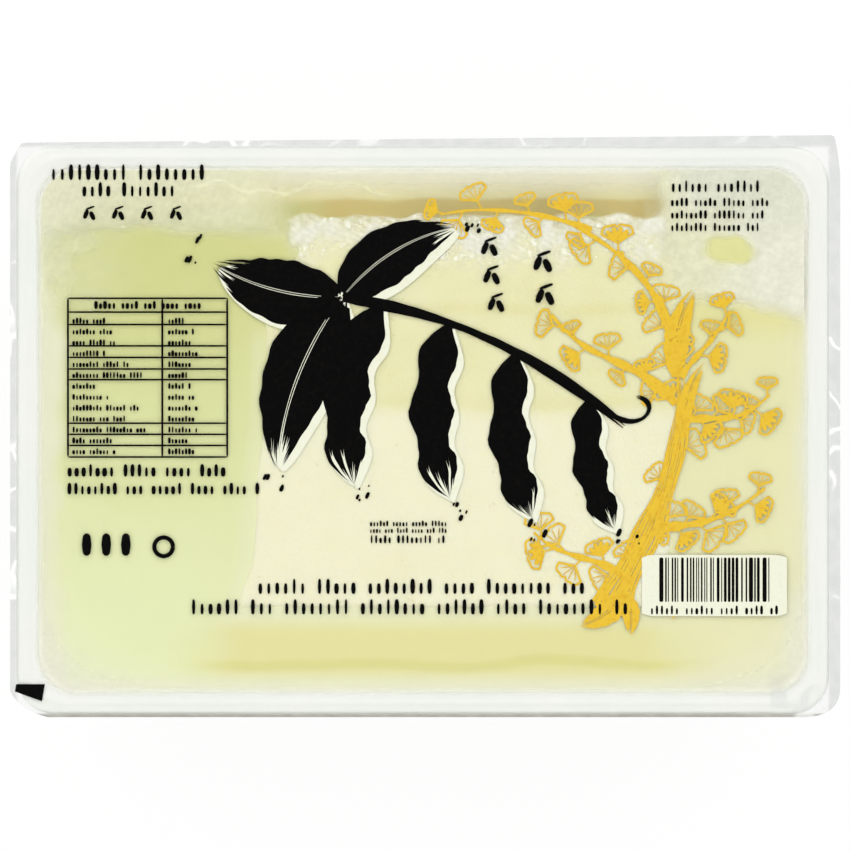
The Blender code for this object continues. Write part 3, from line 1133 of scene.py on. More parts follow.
@dataclass
class TofuBlock:
    """The hand-cut block, slumped at its front and left foot, with a low step across its top."""

    tray: Tray
    film: LidFilm
    left: float = -0.0370
    right: float = 0.0625
    back: float = 0.0482
    top_front: float = -0.0415
    foot_front: float = -0.0500
    edge_round: float = 0.0030
    step_y: float = 0.0063
    step_drop: float = 0.00016
    clearance: float = 0.00006
    divisions: tuple[int, int, int] = (128, 116, 52)

    def sides(self, y: Array, slump: Array) -> tuple[Array, Array]:
        """Left and right side of the block.

        Args:
            y: Places along Y.
            slump: From 0 at the top to 1 at the foot.

        Returns:
            The two sides' places along X.
        """
        narrowing = 0.0072 * smooth_step(0.026, 0.042, y)
        spread = 0.0030 * smooth_step(0.010, -0.030, y)
        lobe = 0.0115 * smooth_step(-0.028, -0.042, y) * (0.3 + 0.7 * slump)
        tuck = 0.0060 * smooth_step(0.020, -0.035, y)
        wave = 0.0004 * np.sin(y * 210.0)
        left = self.left + narrowing - spread - lobe + wave - 0.0012 * slump
        right = self.right - narrowing - tuck + wave + 0.0012 * slump
        return left, right

    def surface(self, cube: Array) -> Array:
        """Carry points of the cube -1..1 to the block's skin.

        The cube is scaled to the block, each point is moved to the nearest point of a core
        box and out again by the edge radius, and the result is stretched between the block's
        sides, front, back, base and top. Soft waves, a step across the top and small pits are
        added along the outward direction.

        Args:
            cube: Points on the cube.

        Returns:
            Points on the block.
        """
        base = self.tray.wall
        top = self.tray.height - 0.0008
        half = np.array([self.right - self.left, self.back - self.top_front, top - base]) / 2
        raw = cube * half
        core = np.clip(raw, self.edge_round - half, half - self.edge_round)
        away = raw - core
        away /= np.maximum(np.linalg.norm(away, axis=-1, keepdims=True), 1e-12)
        share = (core + away * self.edge_round) / half
        foot = 0.5 - 0.5 * share[..., 2]
        slump = foot**1.6
        bulge = 0.0026 * (1.0 - share[..., 0] ** 2) * slump
        front = self.top_front + (self.foot_front - self.top_front) * slump - bulge
        back = self.back - 0.0012 * (1.0 - foot)
        y = front + (back - front) * (0.5 + 0.5 * share[..., 1])
        left, right = self.sides(y, slump)
        x = left + (right - left) * (0.5 + 0.5 * share[..., 0])
        ceiling = self.film.height(x, y) - self.clearance
        step = smooth_step(self.step_y - 0.0008, self.step_y + 0.0012, y + 0.0008 * np.sin(x * 90.0))
        ceiling = ceiling - self.step_drop * step
        z = base + (ceiling - base) * (0.5 + 0.5 * share[..., 2])
        points = np.stack([x, y, z], axis=-1)
        rough = 0.00022 * waves(x + z, y - z, 0.014, 21) + 0.00007 * waves(x - z, y + z, 0.003, 22)
        pits = 0.00025 * np.clip(waves(x + 0.7 * z, y + 0.7 * z, 0.0045, 23, 9) - 1.5, 0.0, 1.0)
        sideways = 1.0 - np.clip(away[..., 2], 0.0, 1.0)
        push = rough * (0.12 + 0.88 * sideways) - pits
        return points + away * np.minimum(push, 0.00025 * sideways)[..., None]

    def skin(self) -> Skin:
        """The six sides of a finely divided cube, carried to the block and sewn at its edges.

        Returns:
            The points, and an array of quads.
        """
        lines = [np.sin(np.linspace(-0.5, 0.5, count + 1) * np.pi) for count in self.divisions]
        lines = [0.35 * line + 0.65 * np.linspace(-1.0, 1.0, len(line)) for line in lines]
        shape = tuple(len(line) for line in lines)
        faces = []
        for axis in range(3):
            first, second = (other for other in range(3) if other != axis)
            for end in (0, shape[axis] - 1):
                index = [np.full((shape[first], shape[second]), end)] * 3
                index[first], index[second] = np.meshgrid(
                    np.arange(shape[first]), np.arange(shape[second]), indexing="ij"
                )
                number = np.ravel_multi_index(index, shape).ravel()
                quads = number[grid_faces(shape[first], shape[second])]
                faces.append(quads if (end > 0) == (axis != 1) else quads[:, ::-1])
        quads = np.concatenate(faces)
        used, renumbered = np.unique(quads, return_inverse=True)
        place = np.unravel_index(used, shape)
        cube = np.stack([line[spot] for line, spot in zip(lines, place)], axis=-1)
        return self.surface(cube), [renumbered.reshape(-1, 4)]

    def build(self, finish: CurdFinish) -> bpy.types.Object:
        """Make the block and put it in the plain solid's place."""
        piece = add_piece("curd_block", self.skin(), finish.build())
        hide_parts("tofu_block")
        return piece


# ---------------------------------------------------------------------------- whey


@dataclass
class Whey:
    """The liquid, which touches the film except in the air pocket along the back."""

    tray: Tray
    film: LidFilm
    pocket_depth: float = 0.0040
    pocket_left: float = 0.0445
    pocket_right: float = 0.0290
    pocket_edge: float = 0.0070
    into_wall: float = 0.0003
    below_film: float = 0.00036

    def shore(self, x: Array) -> Array:
        """Where along Y the liquid leaves the film."""
        share = smooth_step(-0.3, 0.2, x / self.tray.length)
        front = self.pocket_left + (self.pocket_right - self.pocket_left) * share
        return front + 0.0006 * waves(x, 0.0 * x, 0.03, 31) - 0.0030 * smooth_step(0.066, 0.088, x)

    def pocket(self, x: Array, y: Array) -> Array:
        """Share of the pocket's depth: 0 where whey touches the film and 1 in the pocket."""
        shore = self.shore(x)
        return smooth_step(shore, shore + self.pocket_edge, y)

    def level(self, x: Array, y: Array) -> Array:
        """Height of the liquid's surface.

        Args:
            x: Places along X.
            y: Places along Y.

        Returns:
            The heights: just under the film, less the pocket's depth.
        """
        under_film = np.minimum(self.film.height(x, y) - self.below_film, self.tray.height - 0.0005)
        return under_film - self.pocket_depth * self.pocket(x, y)

    def build(self, finish: WheyFinish) -> bpy.types.Object:
        """Make the liquid, a little into the tray's wall, and put it in the solid's place."""
        wall = self.tray.profile(-self.into_wall, bead=False)
        inside = (wall[:, 0] > self.tray.band) & (wall[:, 1] < self.tray.height - self.pocket_depth - 0.001)
        walls = self.tray.rings(wall[inside])
        shares = np.linspace(1.0, 0.02, 84)[:, None, None]
        plan = walls[0, :, :2][None] * shares
        top = np.concatenate([plan, self.level(plan[..., 0], plan[..., 1])[..., None]], axis=-1)
        middle = np.zeros(1)
        poles = np.array([[0.0, 0.0, float(self.level(middle, middle)[0])], [0.0, 0.0, walls[-1, 0, 2]]])
        skin = ringed_skin(np.concatenate([top[::-1], walls]), *poles)
        piece = add_piece("whey_fill", skin, finish.build())
        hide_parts("whey")
        return piece


# ----------------------------------------------------------------------- film print


@dataclass
class Strokes:
    """Strokes of a pen or brush in plan, in millimetres, all with the same number of places."""

    path: Array
    half: Array

    def moved(self, x: float, y: float, grown: float = 0.0) -> "Strokes":
        """The same strokes somewhere else, and perhaps broader."""
        return Strokes(self.path + np.array([x, y]), self.half + grown)

    def skin(self, film: LidFilm, lift: float, rise: float, section: int = 8) -> Skin:
        """Lens-shaped ridges along the strokes that follow the film.

        Each place carries an ellipse as broad as the stroke and twice the rise high.

        Args:
            film: The film.
            lift: Height of the ridges' middle over the film's upper side.
            rise: Half their thickness.
            section: The points round each ridge.

        Returns:
            The closed skins.
        """
        heading = np.gradient(self.path, axis=1)
        heading /= np.maximum(np.linalg.norm(heading, axis=-1, keepdims=True), 1e-9)
        angle = np.arange(section) / section * 2.0 * np.pi
        breadth = self.half[:, :, None] * np.cos(angle)
        plan = self.path[:, :, None] + left_of(heading)[:, :, None] * breadth[..., None]
        ends = np.concatenate([self.path[:, :1], self.path[:, -1:]], axis=1)
        seats = [film.top(*np.moveaxis(spots * MM, -1, 0)) + lift for spots in (plan, ends)]
        rings = np.concatenate([plan * MM, (seats[0] + rise * np.sin(angle))[..., None]], axis=-1)
        poles = np.concatenate([ends * MM, seats[1][..., None]], axis=-1)
        return ringed_skins(rings, poles[:, 0], poles[:, 1])


def pills(
    middles: Array, lengths: Array, widths: Array, turn: Link = 0.5 * np.pi, blunt: float = 4.0
) -> Strokes:
    """Short straight strokes with rounded ends: the width follows a superellipse.

    Args:
        middles: Their middles.
        lengths: Their lengths.
        widths: Their widths.
        turn: Their directions in radians from +X.
        blunt: The superellipse's power: the higher, the squarer the ends.

    Returns:
        The strokes.
    """
    middles = np.atleast_2d(np.asarray(middles, dtype=float))
    count = len(middles)
    share = np.array([-1.0, -0.97, -0.8, 0.0, 0.8, 0.97, 1.0])
    turns = np.broadcast_to(turn, count)
    heading = np.stack([np.cos(turns), np.sin(turns)], axis=-1)
    reach = np.broadcast_to(lengths, count)[:, None] / 2 * share
    rounding = np.maximum(1.0 - np.abs(share) ** blunt, 0.12) ** 0.5
    half = np.broadcast_to(widths, count)[:, None] / 2 * rounding
    return Strokes(middles[:, None] + heading[:, None] * reach[..., None], half)


class BrushShape(Enum):
    """What a loaded brush draws in one pull."""

    LEAF = "leaf"
    POD = "pod"
    STEM = "stem"
    TRUNK = "trunk"

    def width(self, share: Array) -> Array:
        """Width along the pull, as a share of the broadest.

        A leaf is a skewed sine with a blunt end, a pod a flattened one with three bulges, a
        stem nearly even, and a trunk thins to a quarter with knots on its way.

        Args:
            share: Places along it, 0 to about 1.1.

        Returns:
            The widths.
        """
        held = np.clip(share, 0.0, 1.0)
        if self is BrushShape.LEAF:
            return 0.12 + 0.88 * np.sin(np.pi * held**0.75) ** 0.85
        if self is BrushShape.POD:
            flat = np.clip(1.0 - np.abs(2.0 * held - 1.0) ** 4, 0.02, 1.0) ** 0.7
            return flat * (0.84 + 0.16 * np.cos(6.0 * np.pi * (held - 1.0 / 6.0)))
        if self is BrushShape.TRUNK:
            return (1.0 - 0.75 * held) * (1.0 + 0.14 * np.sin(19.0 * held + 1.0))
        return 1.0 + 0.25 * np.sin(9.0 * held)


@dataclass(frozen=True)
class BrushPull:
    """One pull of a brush: a cubic curve and a shape, drawn by the brush's bristles."""

    curve: tuple[tuple[float, float], ...]
    shape: BrushShape
    half: float
    lanes: int = 13
    fray: float = 0.10
    midrib: float = 1.0
    cover: float = 1.35

    def strokes(self, rng: np.random.Generator) -> Strokes:
        """One narrow stroke for each bundle of bristles, side by side, with uneven ends."""
        lane = (np.arange(self.lanes) + 0.5) / self.lanes * 2.0 - 1.0
        along = 0.5 - 0.5 * np.cos(np.linspace(0.0, np.pi, 52))
        start = self.fray * 0.25 * rng.uniform(0.0, 1.0, self.lanes)[:, None]
        dry = rng.uniform(0.0, 1.0, self.lanes) < 0.22
        stop = 1.0 + 0.03 - (self.fray * rng.uniform(0.0, 1.0, self.lanes) + 0.12 * dry)[:, None]
        share = start + (stop - start) * along
        spot, heading = bezier(self.curve, share)
        ragged = 1.0 + 0.035 * waves(share + 0.0 * lane[:, None], 0.1 * lane[:, None] + 0.0 * share, 0.09, self.lanes)
        half = self.half * self.shape.width(share) * ragged
        path = spot + left_of(heading) * (half * lane[:, None])[..., None]
        taper = np.clip(1.0 - along**10, 0.05, 1.0) ** 0.6
        narrow = np.where(np.abs(lane) < 0.5 / self.lanes, self.midrib, 1.0)[:, None]
        uneven = self.cover + 0.30 * (1.35 - self.cover) * waves(share, 3.0 * lane[:, None] + share, 0.25, self.lanes)
        return Strokes(path, half / self.lanes * uneven * taper * narrow)

    def shadow(self, move: tuple[float, float], grown: float) -> Strokes:
        """A single broad stroke under the whole pull, moved aside."""
        share = 0.5 - 0.5 * np.cos(np.linspace(0.0, np.pi, 40))
        spot, _ = bezier(self.curve, share)
        half = self.half * self.shape.width(share) + grown
        ends = np.clip(1.0 - np.abs(2.0 * share - 1.0) ** 12, 0.05, 1.0) ** 0.5
        return Strokes(spot[None], (half * ends)[None]).moved(*move)


def drooping(base: Sequence[float], tip: Sequence[float], bow: float) -> tuple[tuple[float, float], ...]:
    """A curve from base to tip that bows to the left by a share of its length."""
    start, end = np.asarray(base, dtype=float), np.asarray(tip, dtype=float)
    reach = end - start
    aside = left_of(reach) * bow
    spots = (start, start + reach * 0.33 + aside, start + reach * 0.7 + aside, end)
    return tuple(tuple(float(part) for part in spot) for spot in spots)


@dataclass
class BeanSprig:
    """The brush-drawn black sprig of a soya plant, with a white edge to its lower right."""

    node: tuple[float, float] = (-18.0, 30.0)
    leaflets: tuple[tuple[float, float, float, float], ...] = (
        (-47.0, 37.5, 7.0, 0.10),
        (-32.5, -8.0, 7.8, -0.10),
        (7.0, 45.5, 6.2, 0.12),
    )
    stem: tuple[tuple[float, float], ...] = ((-18.0, 30.0), (-2.0, 27.0), (16.0, 24.0), (43.0, 3.0))
    pods: tuple[tuple[float, float, float, float, float], ...] = (
        (0.18, -15.5, -12.0, 5.2, -0.16),
        (0.46, 6.0, -15.0, 4.9, -0.14),
        (0.70, 24.5, -19.5, 4.6, -0.12),
        (0.93, 43.0, -22.0, 3.9, -0.12),
    )
    tendril: tuple[tuple[float, float], ...] = ((40.5, 5.2), (48.5, -2.5), (54.5, 6.0), (48.5, 7.5))
    edge_move: tuple[float, float] = (1.15, -1.25)
    edge_grown: float = 0.35
    seed: int = 61

    def pulls(self) -> list[BrushPull]:
        """Every pull of the brush."""
        pulls = [
            BrushPull(drooping(self.node, (x, y), bow), BrushShape.LEAF, half, 15, 0.13, 0.25)
            for x, y, half, bow in self.leaflets
        ]
        for share, x, y, half, bow in self.pods:
            base, _ = bezier(self.stem, np.array([share]))
            pulls.append(BrushPull(drooping(base[0], (x, y), bow), BrushShape.POD, half, 11, 0.09))
        pulls.append(BrushPull(self.stem, BrushShape.STEM, 0.85, 3, 0.0, cover=1.8))
        pulls.append(BrushPull(self.tendril, BrushShape.STEM, 0.40, 3, 0.02, cover=1.8))
        return pulls

    def spatter(self, rng: np.random.Generator) -> Strokes:
        """Drops of ink flung past the pulls' ends."""
        spots = []
        for pull in self.pulls()[:7]:
            tip, heading = bezier(pull.curve, np.array([1.0]))
            count = 5
            away = rng.uniform(0.8, 6.0, count)[:, None]
            aside = rng.normal(0.0, 1.6, count)[:, None]
            spots.append(tip + heading * away + left_of(heading) * aside)
        middles = np.concatenate(spots)
        width = rng.uniform(0.35, 1.1, len(middles))
        return pills(middles, width * rng.uniform(1.1, 2.2, len(middles)), width, 4.3)

    def marks(self) -> list[Strokes]:
        """The black strokes."""
        rng = np.random.default_rng(self.seed)
        return [pull.strokes(rng) for pull in self.pulls()] + [self.spatter(rng)]

    def edges(self) -> list[Strokes]:
        """The white strokes that lie under the black."""
        return [pull.shadow(self.edge_move, self.edge_grown) for pull in self.pulls()[:-2]]


@dataclass
class GinkgoSpray:
    """The gold spray: a brushed trunk and bowed twigs that carry fan leaves, some of them filled."""

    trunk: tuple[tuple[float, float], ...] = ((41.5, -41.0), (50.0, -24.0), (61.0, -8.0), (57.5, 17.0))
    twigs: tuple[tuple[tuple[tuple[float, float], ...], float, int], ...] = (
        (((45.0, -34.0), (52.0, -20.0), (60.0, -8.0), (57.0, 14.0)), 0.5, 5),
        (((57.0, 12.0), (57.0, 26.0), (50.0, 38.0), (34.0, 46.0)), 1.3, 10),
        (((58.5, 2.0), (66.0, 4.0), (70.0, 0.0), (78.0, 8.0)), 1.0, 9),
        (((57.0, 6.0), (46.0, 18.0), (38.0, 14.0), (29.0, 26.0)), 1.2, 7),
        (((38.0, 45.0), (28.0, 49.0), (14.0, 51.0), (4.0, 48.5)), 0.7, 8),
        (((53.0, -22.0), (60.0, -21.0), (66.0, -22.0), (77.0, -13.0)), 1.1, 9),
        (((47.0, -34.0), (38.0, -27.0), (32.0, -30.0), (25.0, -23.0)), 1.0, 6),
        (((58.0, 12.0), (62.0, 18.0), (66.0, 20.0), (69.0, 27.0)), 0.8, 5),
    )
    blades: tuple[tuple[float, float, float, float, float], ...] = (
        (57.0, 12.0, 61.5, 32.0, 2.6),
        (58.5, -2.0, 63.5, 15.0, 1.7),
        (50.0, -30.0, 57.0, -43.0, 2.2),
        (46.0, -36.0, 35.5, -44.0, 2.6),
        (45.5, -37.0, 46.5, -46.0, 1.9),
    )
    seed: int = 77

    def fan(self, base: Array, turn: float, size: float, filled: bool) -> list[Strokes]:
        """A fan leaf: its outline, and ribs that spread from its foot.

        The outline runs out along one straight side, round the wavy and notched far edge,
        and back along the other side.

        Args:
            base: The foot of its stalk.
            turn: Its direction in radians.
            size: Its length.
            filled: Whether the ribs are broad enough to fill most of it.

        Returns:
            The strokes.
        """
        s = np.linspace(0.0, 1.0, 41)
        spread = 1.05 * (smooth_step(0.18, 0.82, s) * 2.0 - 1.0)
        notch = 0.22 * np.exp(-((spread / 0.13) ** 2))
        edge = size * (0.92 + 0.05 * np.cos(spread * 9.0) - notch)
        reach = edge * np.clip(np.minimum(s, 1.0 - s) / 0.18, 0.02, 1.0)
        foot = base + 0.55 * size * np.array([math.cos(turn), math.sin(turn)])
        outline = foot + reach[:, None] * np.stack([np.cos(turn + spread), np.sin(turn + spread)], axis=-1)
        ribs = turn + np.array([-0.72, -0.24, 0.24, 0.72])
        heading = np.stack([np.cos(ribs), np.sin(ribs)], axis=-1)
        veins = pills(foot + heading * 0.44 * size, 0.66 * size, 0.26 * size if filled else 0.26, ribs)
        stalk = pills((base + foot) / 2, 0.6 * size, 0.42, turn)
        return [Strokes(outline[None], np.full((1, len(s)), 0.25)), veins, stalk]

    def marks(self) -> list[Strokes]:
        """All the gold strokes."""
        rng = np.random.default_rng(self.seed)
        marks = [BrushPull(self.trunk, BrushShape.TRUNK, 4.0, 9, 0.16, cover=0.90).strokes(rng)]
        for curve, half, fans in self.twigs:
            share = np.linspace(0.0, 1.0, 30)
            spot, _ = bezier(curve, share)
            knots = 1.0 + 0.25 * np.sin(share * 23.0 + half * 9.0)
            marks.append(Strokes(spot[None], (half * (1.0 - 0.75 * share) * knots)[None]))
            places = (np.arange(fans) + rng.uniform(0.3, 0.9, fans)) / fans
            feet, heading = bezier(curve, places)
            for number in range(fans):
                side = (-1.0) ** number * rng.uniform(0.5, 1.25)
                turn = math.atan2(heading[number, 1], heading[number, 0]) + side
                marks += self.fan(feet[number], turn, rng.uniform(3.0, 4.9), number % 3 == 1)
        for x, y, tip_x, tip_y, half in self.blades:
            pull = BrushPull(drooping((x, y), (tip_x, tip_y), 0.12), BrushShape.LEAF, half, 5, 0.12, 0.3)
            marks.append(pull.strokes(rng))
        return marks


@dataclass(frozen=True)
class DabRow:
    """A row of small upright dabs that stands in for a line of text: (left, right, foot, height)."""

    left: float
    right: float
    foot: float
    height: float
    weight: float = 0.50

    def strokes(self, rng: np.random.Generator) -> Strokes:
        """The dabs, in groups of three to eight, some taller than others."""
        pitch = 0.56 * self.height
        count = int((self.right - self.left) / pitch)
        middle = self.left + pitch * (np.arange(count) + 0.5)
        ends = np.cumsum(rng.integers(4, 10, count))
        kept = ~np.isin(np.arange(count), ends)
        tall = self.height * rng.choice([0.70, 0.74, 1.0], count)
        wide = pitch * self.weight * rng.uniform(0.7, 1.35, count)
        middles = np.stack([middle, self.foot + tall / 2], axis=-1)
        return pills(middles[kept], tall[kept], wide[kept])


@dataclass
class PanelPrint:
    """The black small print: rows of dabs, a ruled table, bean marks and a field of bars."""

    rows: tuple[DabRow, ...] = (
        DabRow(-84.0, -46.0, 56.3, 3.5, 0.44),
        DabRow(-77.0, -52.5, 52.6, 3.2, 0.44),
        DabRow(55.6, 76.5, 53.6, 2.6, 0.42),
        DabRow(55.6, 79.0, 50.4, 1.9),
        DabRow(55.6, 78.0, 47.6, 1.9),
        DabRow(55.6, 76.0, 44.8, 1.9),
        DabRow(-80.2, -43.8, -10.4, 2.8, 0.56),
        DabRow(-80.2, -35.6, -14.4, 2.6, 0.52),
        DabRow(-37.5, 37.5, -36.8, 3.4, 0.44),
        DabRow(-52.5, 47.5, -41.4, 3.4, 0.44),
        DabRow(51.0, 80.5, -41.4, 2.0, 0.46),
        DabRow(-12.0, 6.0, -21.6, 1.3, 0.60),
        DabRow(-12.0, 6.0, -23.1, 1.2, 0.60),
        DabRow(-12.0, 6.0, -25.4, 1.8, 0.50),
    )
    table_left: float = -79.8
    table_divide: float = -58.6
    table_right: float = -44.0
    table_lines: tuple[float, ...] = (29.7, 26.6, 23.8, 19.0, 16.4, 13.8, 11.4, 1.6, -0.9, -3.4, -6.0)
    table_pitch: float = 2.45
    bars_left: float = 53.2
    bars_right: float = 78.2
    bars_foot: float = -38.6
    bars_top: float = -28.6
    bean_marks: tuple[tuple[float, float, float], ...] = (
        (-75.0, 48.6, 3.4),
        (-68.5, 48.6, 3.4),
        (-62.0, 48.6, 3.4),
        (-55.5, 48.6, 3.4),
        (15.0, 41.0, 4.6),
        (15.5, 34.6, 4.6),
        (16.5, 28.4, 4.6),
        (27.0, 37.6, 5.2),
        (27.5, 30.2, 5.2),
    )
    seed: int = 93

    def table(self, rng: np.random.Generator) -> list[Strokes]:
        """The ruled table with a row of dabs in each of its cells."""
        lines = np.array(self.table_lines)
        middle = (self.table_left + self.table_right) / 2
        width = self.table_right - self.table_left
        uprights = np.array([self.table_left, self.table_divide, self.table_right])
        height = lines[0] - lines[-1]
        marks = [
            pills(np.stack([np.full(len(lines), middle), lines], axis=-1), width, 0.40, 0.0, 60.0),
            pills([(x, (lines[0] + lines[-1]) / 2) for x in uprights], height, 0.46, blunt=60.0),
            DabRow(-74.0, -49.0, lines[1] + 0.7, 1.8, 0.75).strokes(rng),
        ]
        for foot in np.arange(lines[-1] + 0.6, lines[1] - 1.6, self.table_pitch):
            name_end = self.table_left + rng.uniform(6.0, 19.0)
            marks.append(DabRow(self.table_left + 0.9, name_end, foot, 1.35, 0.70).strokes(rng))
            amount_end = self.table_divide + rng.uniform(5.0, 8.5)
            marks.append(DabRow(self.table_divide + 1.2, amount_end, foot, 1.35, 0.70).strokes(rng))
        return marks

    def bars(self, rng: np.random.Generator) -> Strokes:
        """Upright bars of random width that encode nothing."""
        widths = rng.choice([0.26, 0.42, 0.70, 1.05], 30, p=[0.35, 0.3, 0.22, 0.13])
        gaps = rng.choice([0.28, 0.42, 0.70], 30, p=[0.5, 0.3, 0.2])
        ends = np.cumsum(widths + gaps)
        middle = self.bars_left + (ends - gaps - widths / 2) / ends[-1] * (self.bars_right - self.bars_left)
        height = self.bars_top - self.bars_foot
        level = np.full(len(middle), (self.bars_top + self.bars_foot) / 2)
        return pills(np.stack([middle, level], axis=-1), height, widths * 0.9, blunt=60.0)

    def beans(self) -> list[Strokes]:
        """Small brushed marks: two beans under a short tick."""
        x, y, size = np.array(self.bean_marks).T
        first = pills(np.stack([x - 0.22 * size, y], axis=-1), 0.62 * size, 0.30 * size, 1.2)
        second = pills(np.stack([x + 0.20 * size, y - 0.10 * size], axis=-1), 0.60 * size, 0.32 * size, 2.0)
        tick = pills(np.stack([x + 0.05 * size, y + 0.42 * size], axis=-1), 0.62 * size, 0.14 * size, 0.35)
        return [first, second, tick]

    def marks(self) -> list[Strokes]:
        """All the black small print."""
        rng = np.random.default_rng(self.seed)
        marks = [row.strokes(rng) for row in self.rows]
        marks += self.table(rng) + [self.bars(rng)] + self.beans()
        marks.append(pills([(-75.6, -25.7), (-71.2, -25.7), (-66.8, -25.7)], 5.0, 2.2))
        angle = np.linspace(0.0, 2.0 * np.pi, 33)
        ring = np.stack([-58.3 + 2.1 * np.cos(angle), -26.2 + 2.1 * np.sin(angle)], axis=-1)
        marks.append(Strokes(ring[None], np.full((1, 33), 0.48)))
        share = np.linspace(0.0, 1.0, 7)[:, None]
        corner = np.array([-91.6, -57.9]) * (1 - share) + np.array([-85.3, -59.0]) * share
        marks.append(Strokes(corner[None], (0.85 + 1.1 * share.T)))
        return marks


@dataclass
class FilmPrint:
    """All of the film's inks, from the lowest up: gold, white and black."""

    film: LidFilm
    gold: InkFinish = InkFinish("gold_ink", (0.64, 0.42, 0.030), (0.58, 0.34, 0.020))
    white: InkFinish = InkFinish("white_ink", (0.67, 0.68, 0.55), (0.64, 0.65, 0.49))
    black: InkFinish = InkFinish(
        "black_ink", (0.002, 0.002, 0.002), (0.004, 0.0035, 0.003), 0.5, 0.02
    )
    rise: float = 0.000009
    lifts: tuple[float, float, float] = (0.000014, 0.000036, 0.000058)

    def layer(self, name: str, marks: Sequence[Strokes], finish: InkFinish, lift: float) -> None:
        """Lay one ink on the film."""
        skins = [mark.skin(self.film, lift, self.rise) for mark in marks]
        add_piece(name, join_skins(skins), finish.build(), sharp=80.0)

    def build(self) -> None:
        """Lay every ink."""
        sprig = BeanSprig()
        panels = PanelPrint()
        field_middle = (65.6, -34.9)
        share = -np.cos(np.linspace(0.0, np.pi, 21))
        path = np.stack([field_middle[0] + 16.3 * share, np.full(21, field_middle[1])], axis=-1)
        half = 6.9 * np.maximum(1.0 - share**20, 0.4) ** 0.1
        bar_field = Strokes(path[None], half[None])
        self.layer("gold_print", GinkgoSpray().marks(), self.gold, self.lifts[0])
        self.layer("white_print", sprig.edges() + [bar_field], self.white, self.lifts[1])
        self.layer("black_print", sprig.marks() + panels.marks(), self.black, self.lifts[2])


# --------------------------------------------------- mist, drops and froth


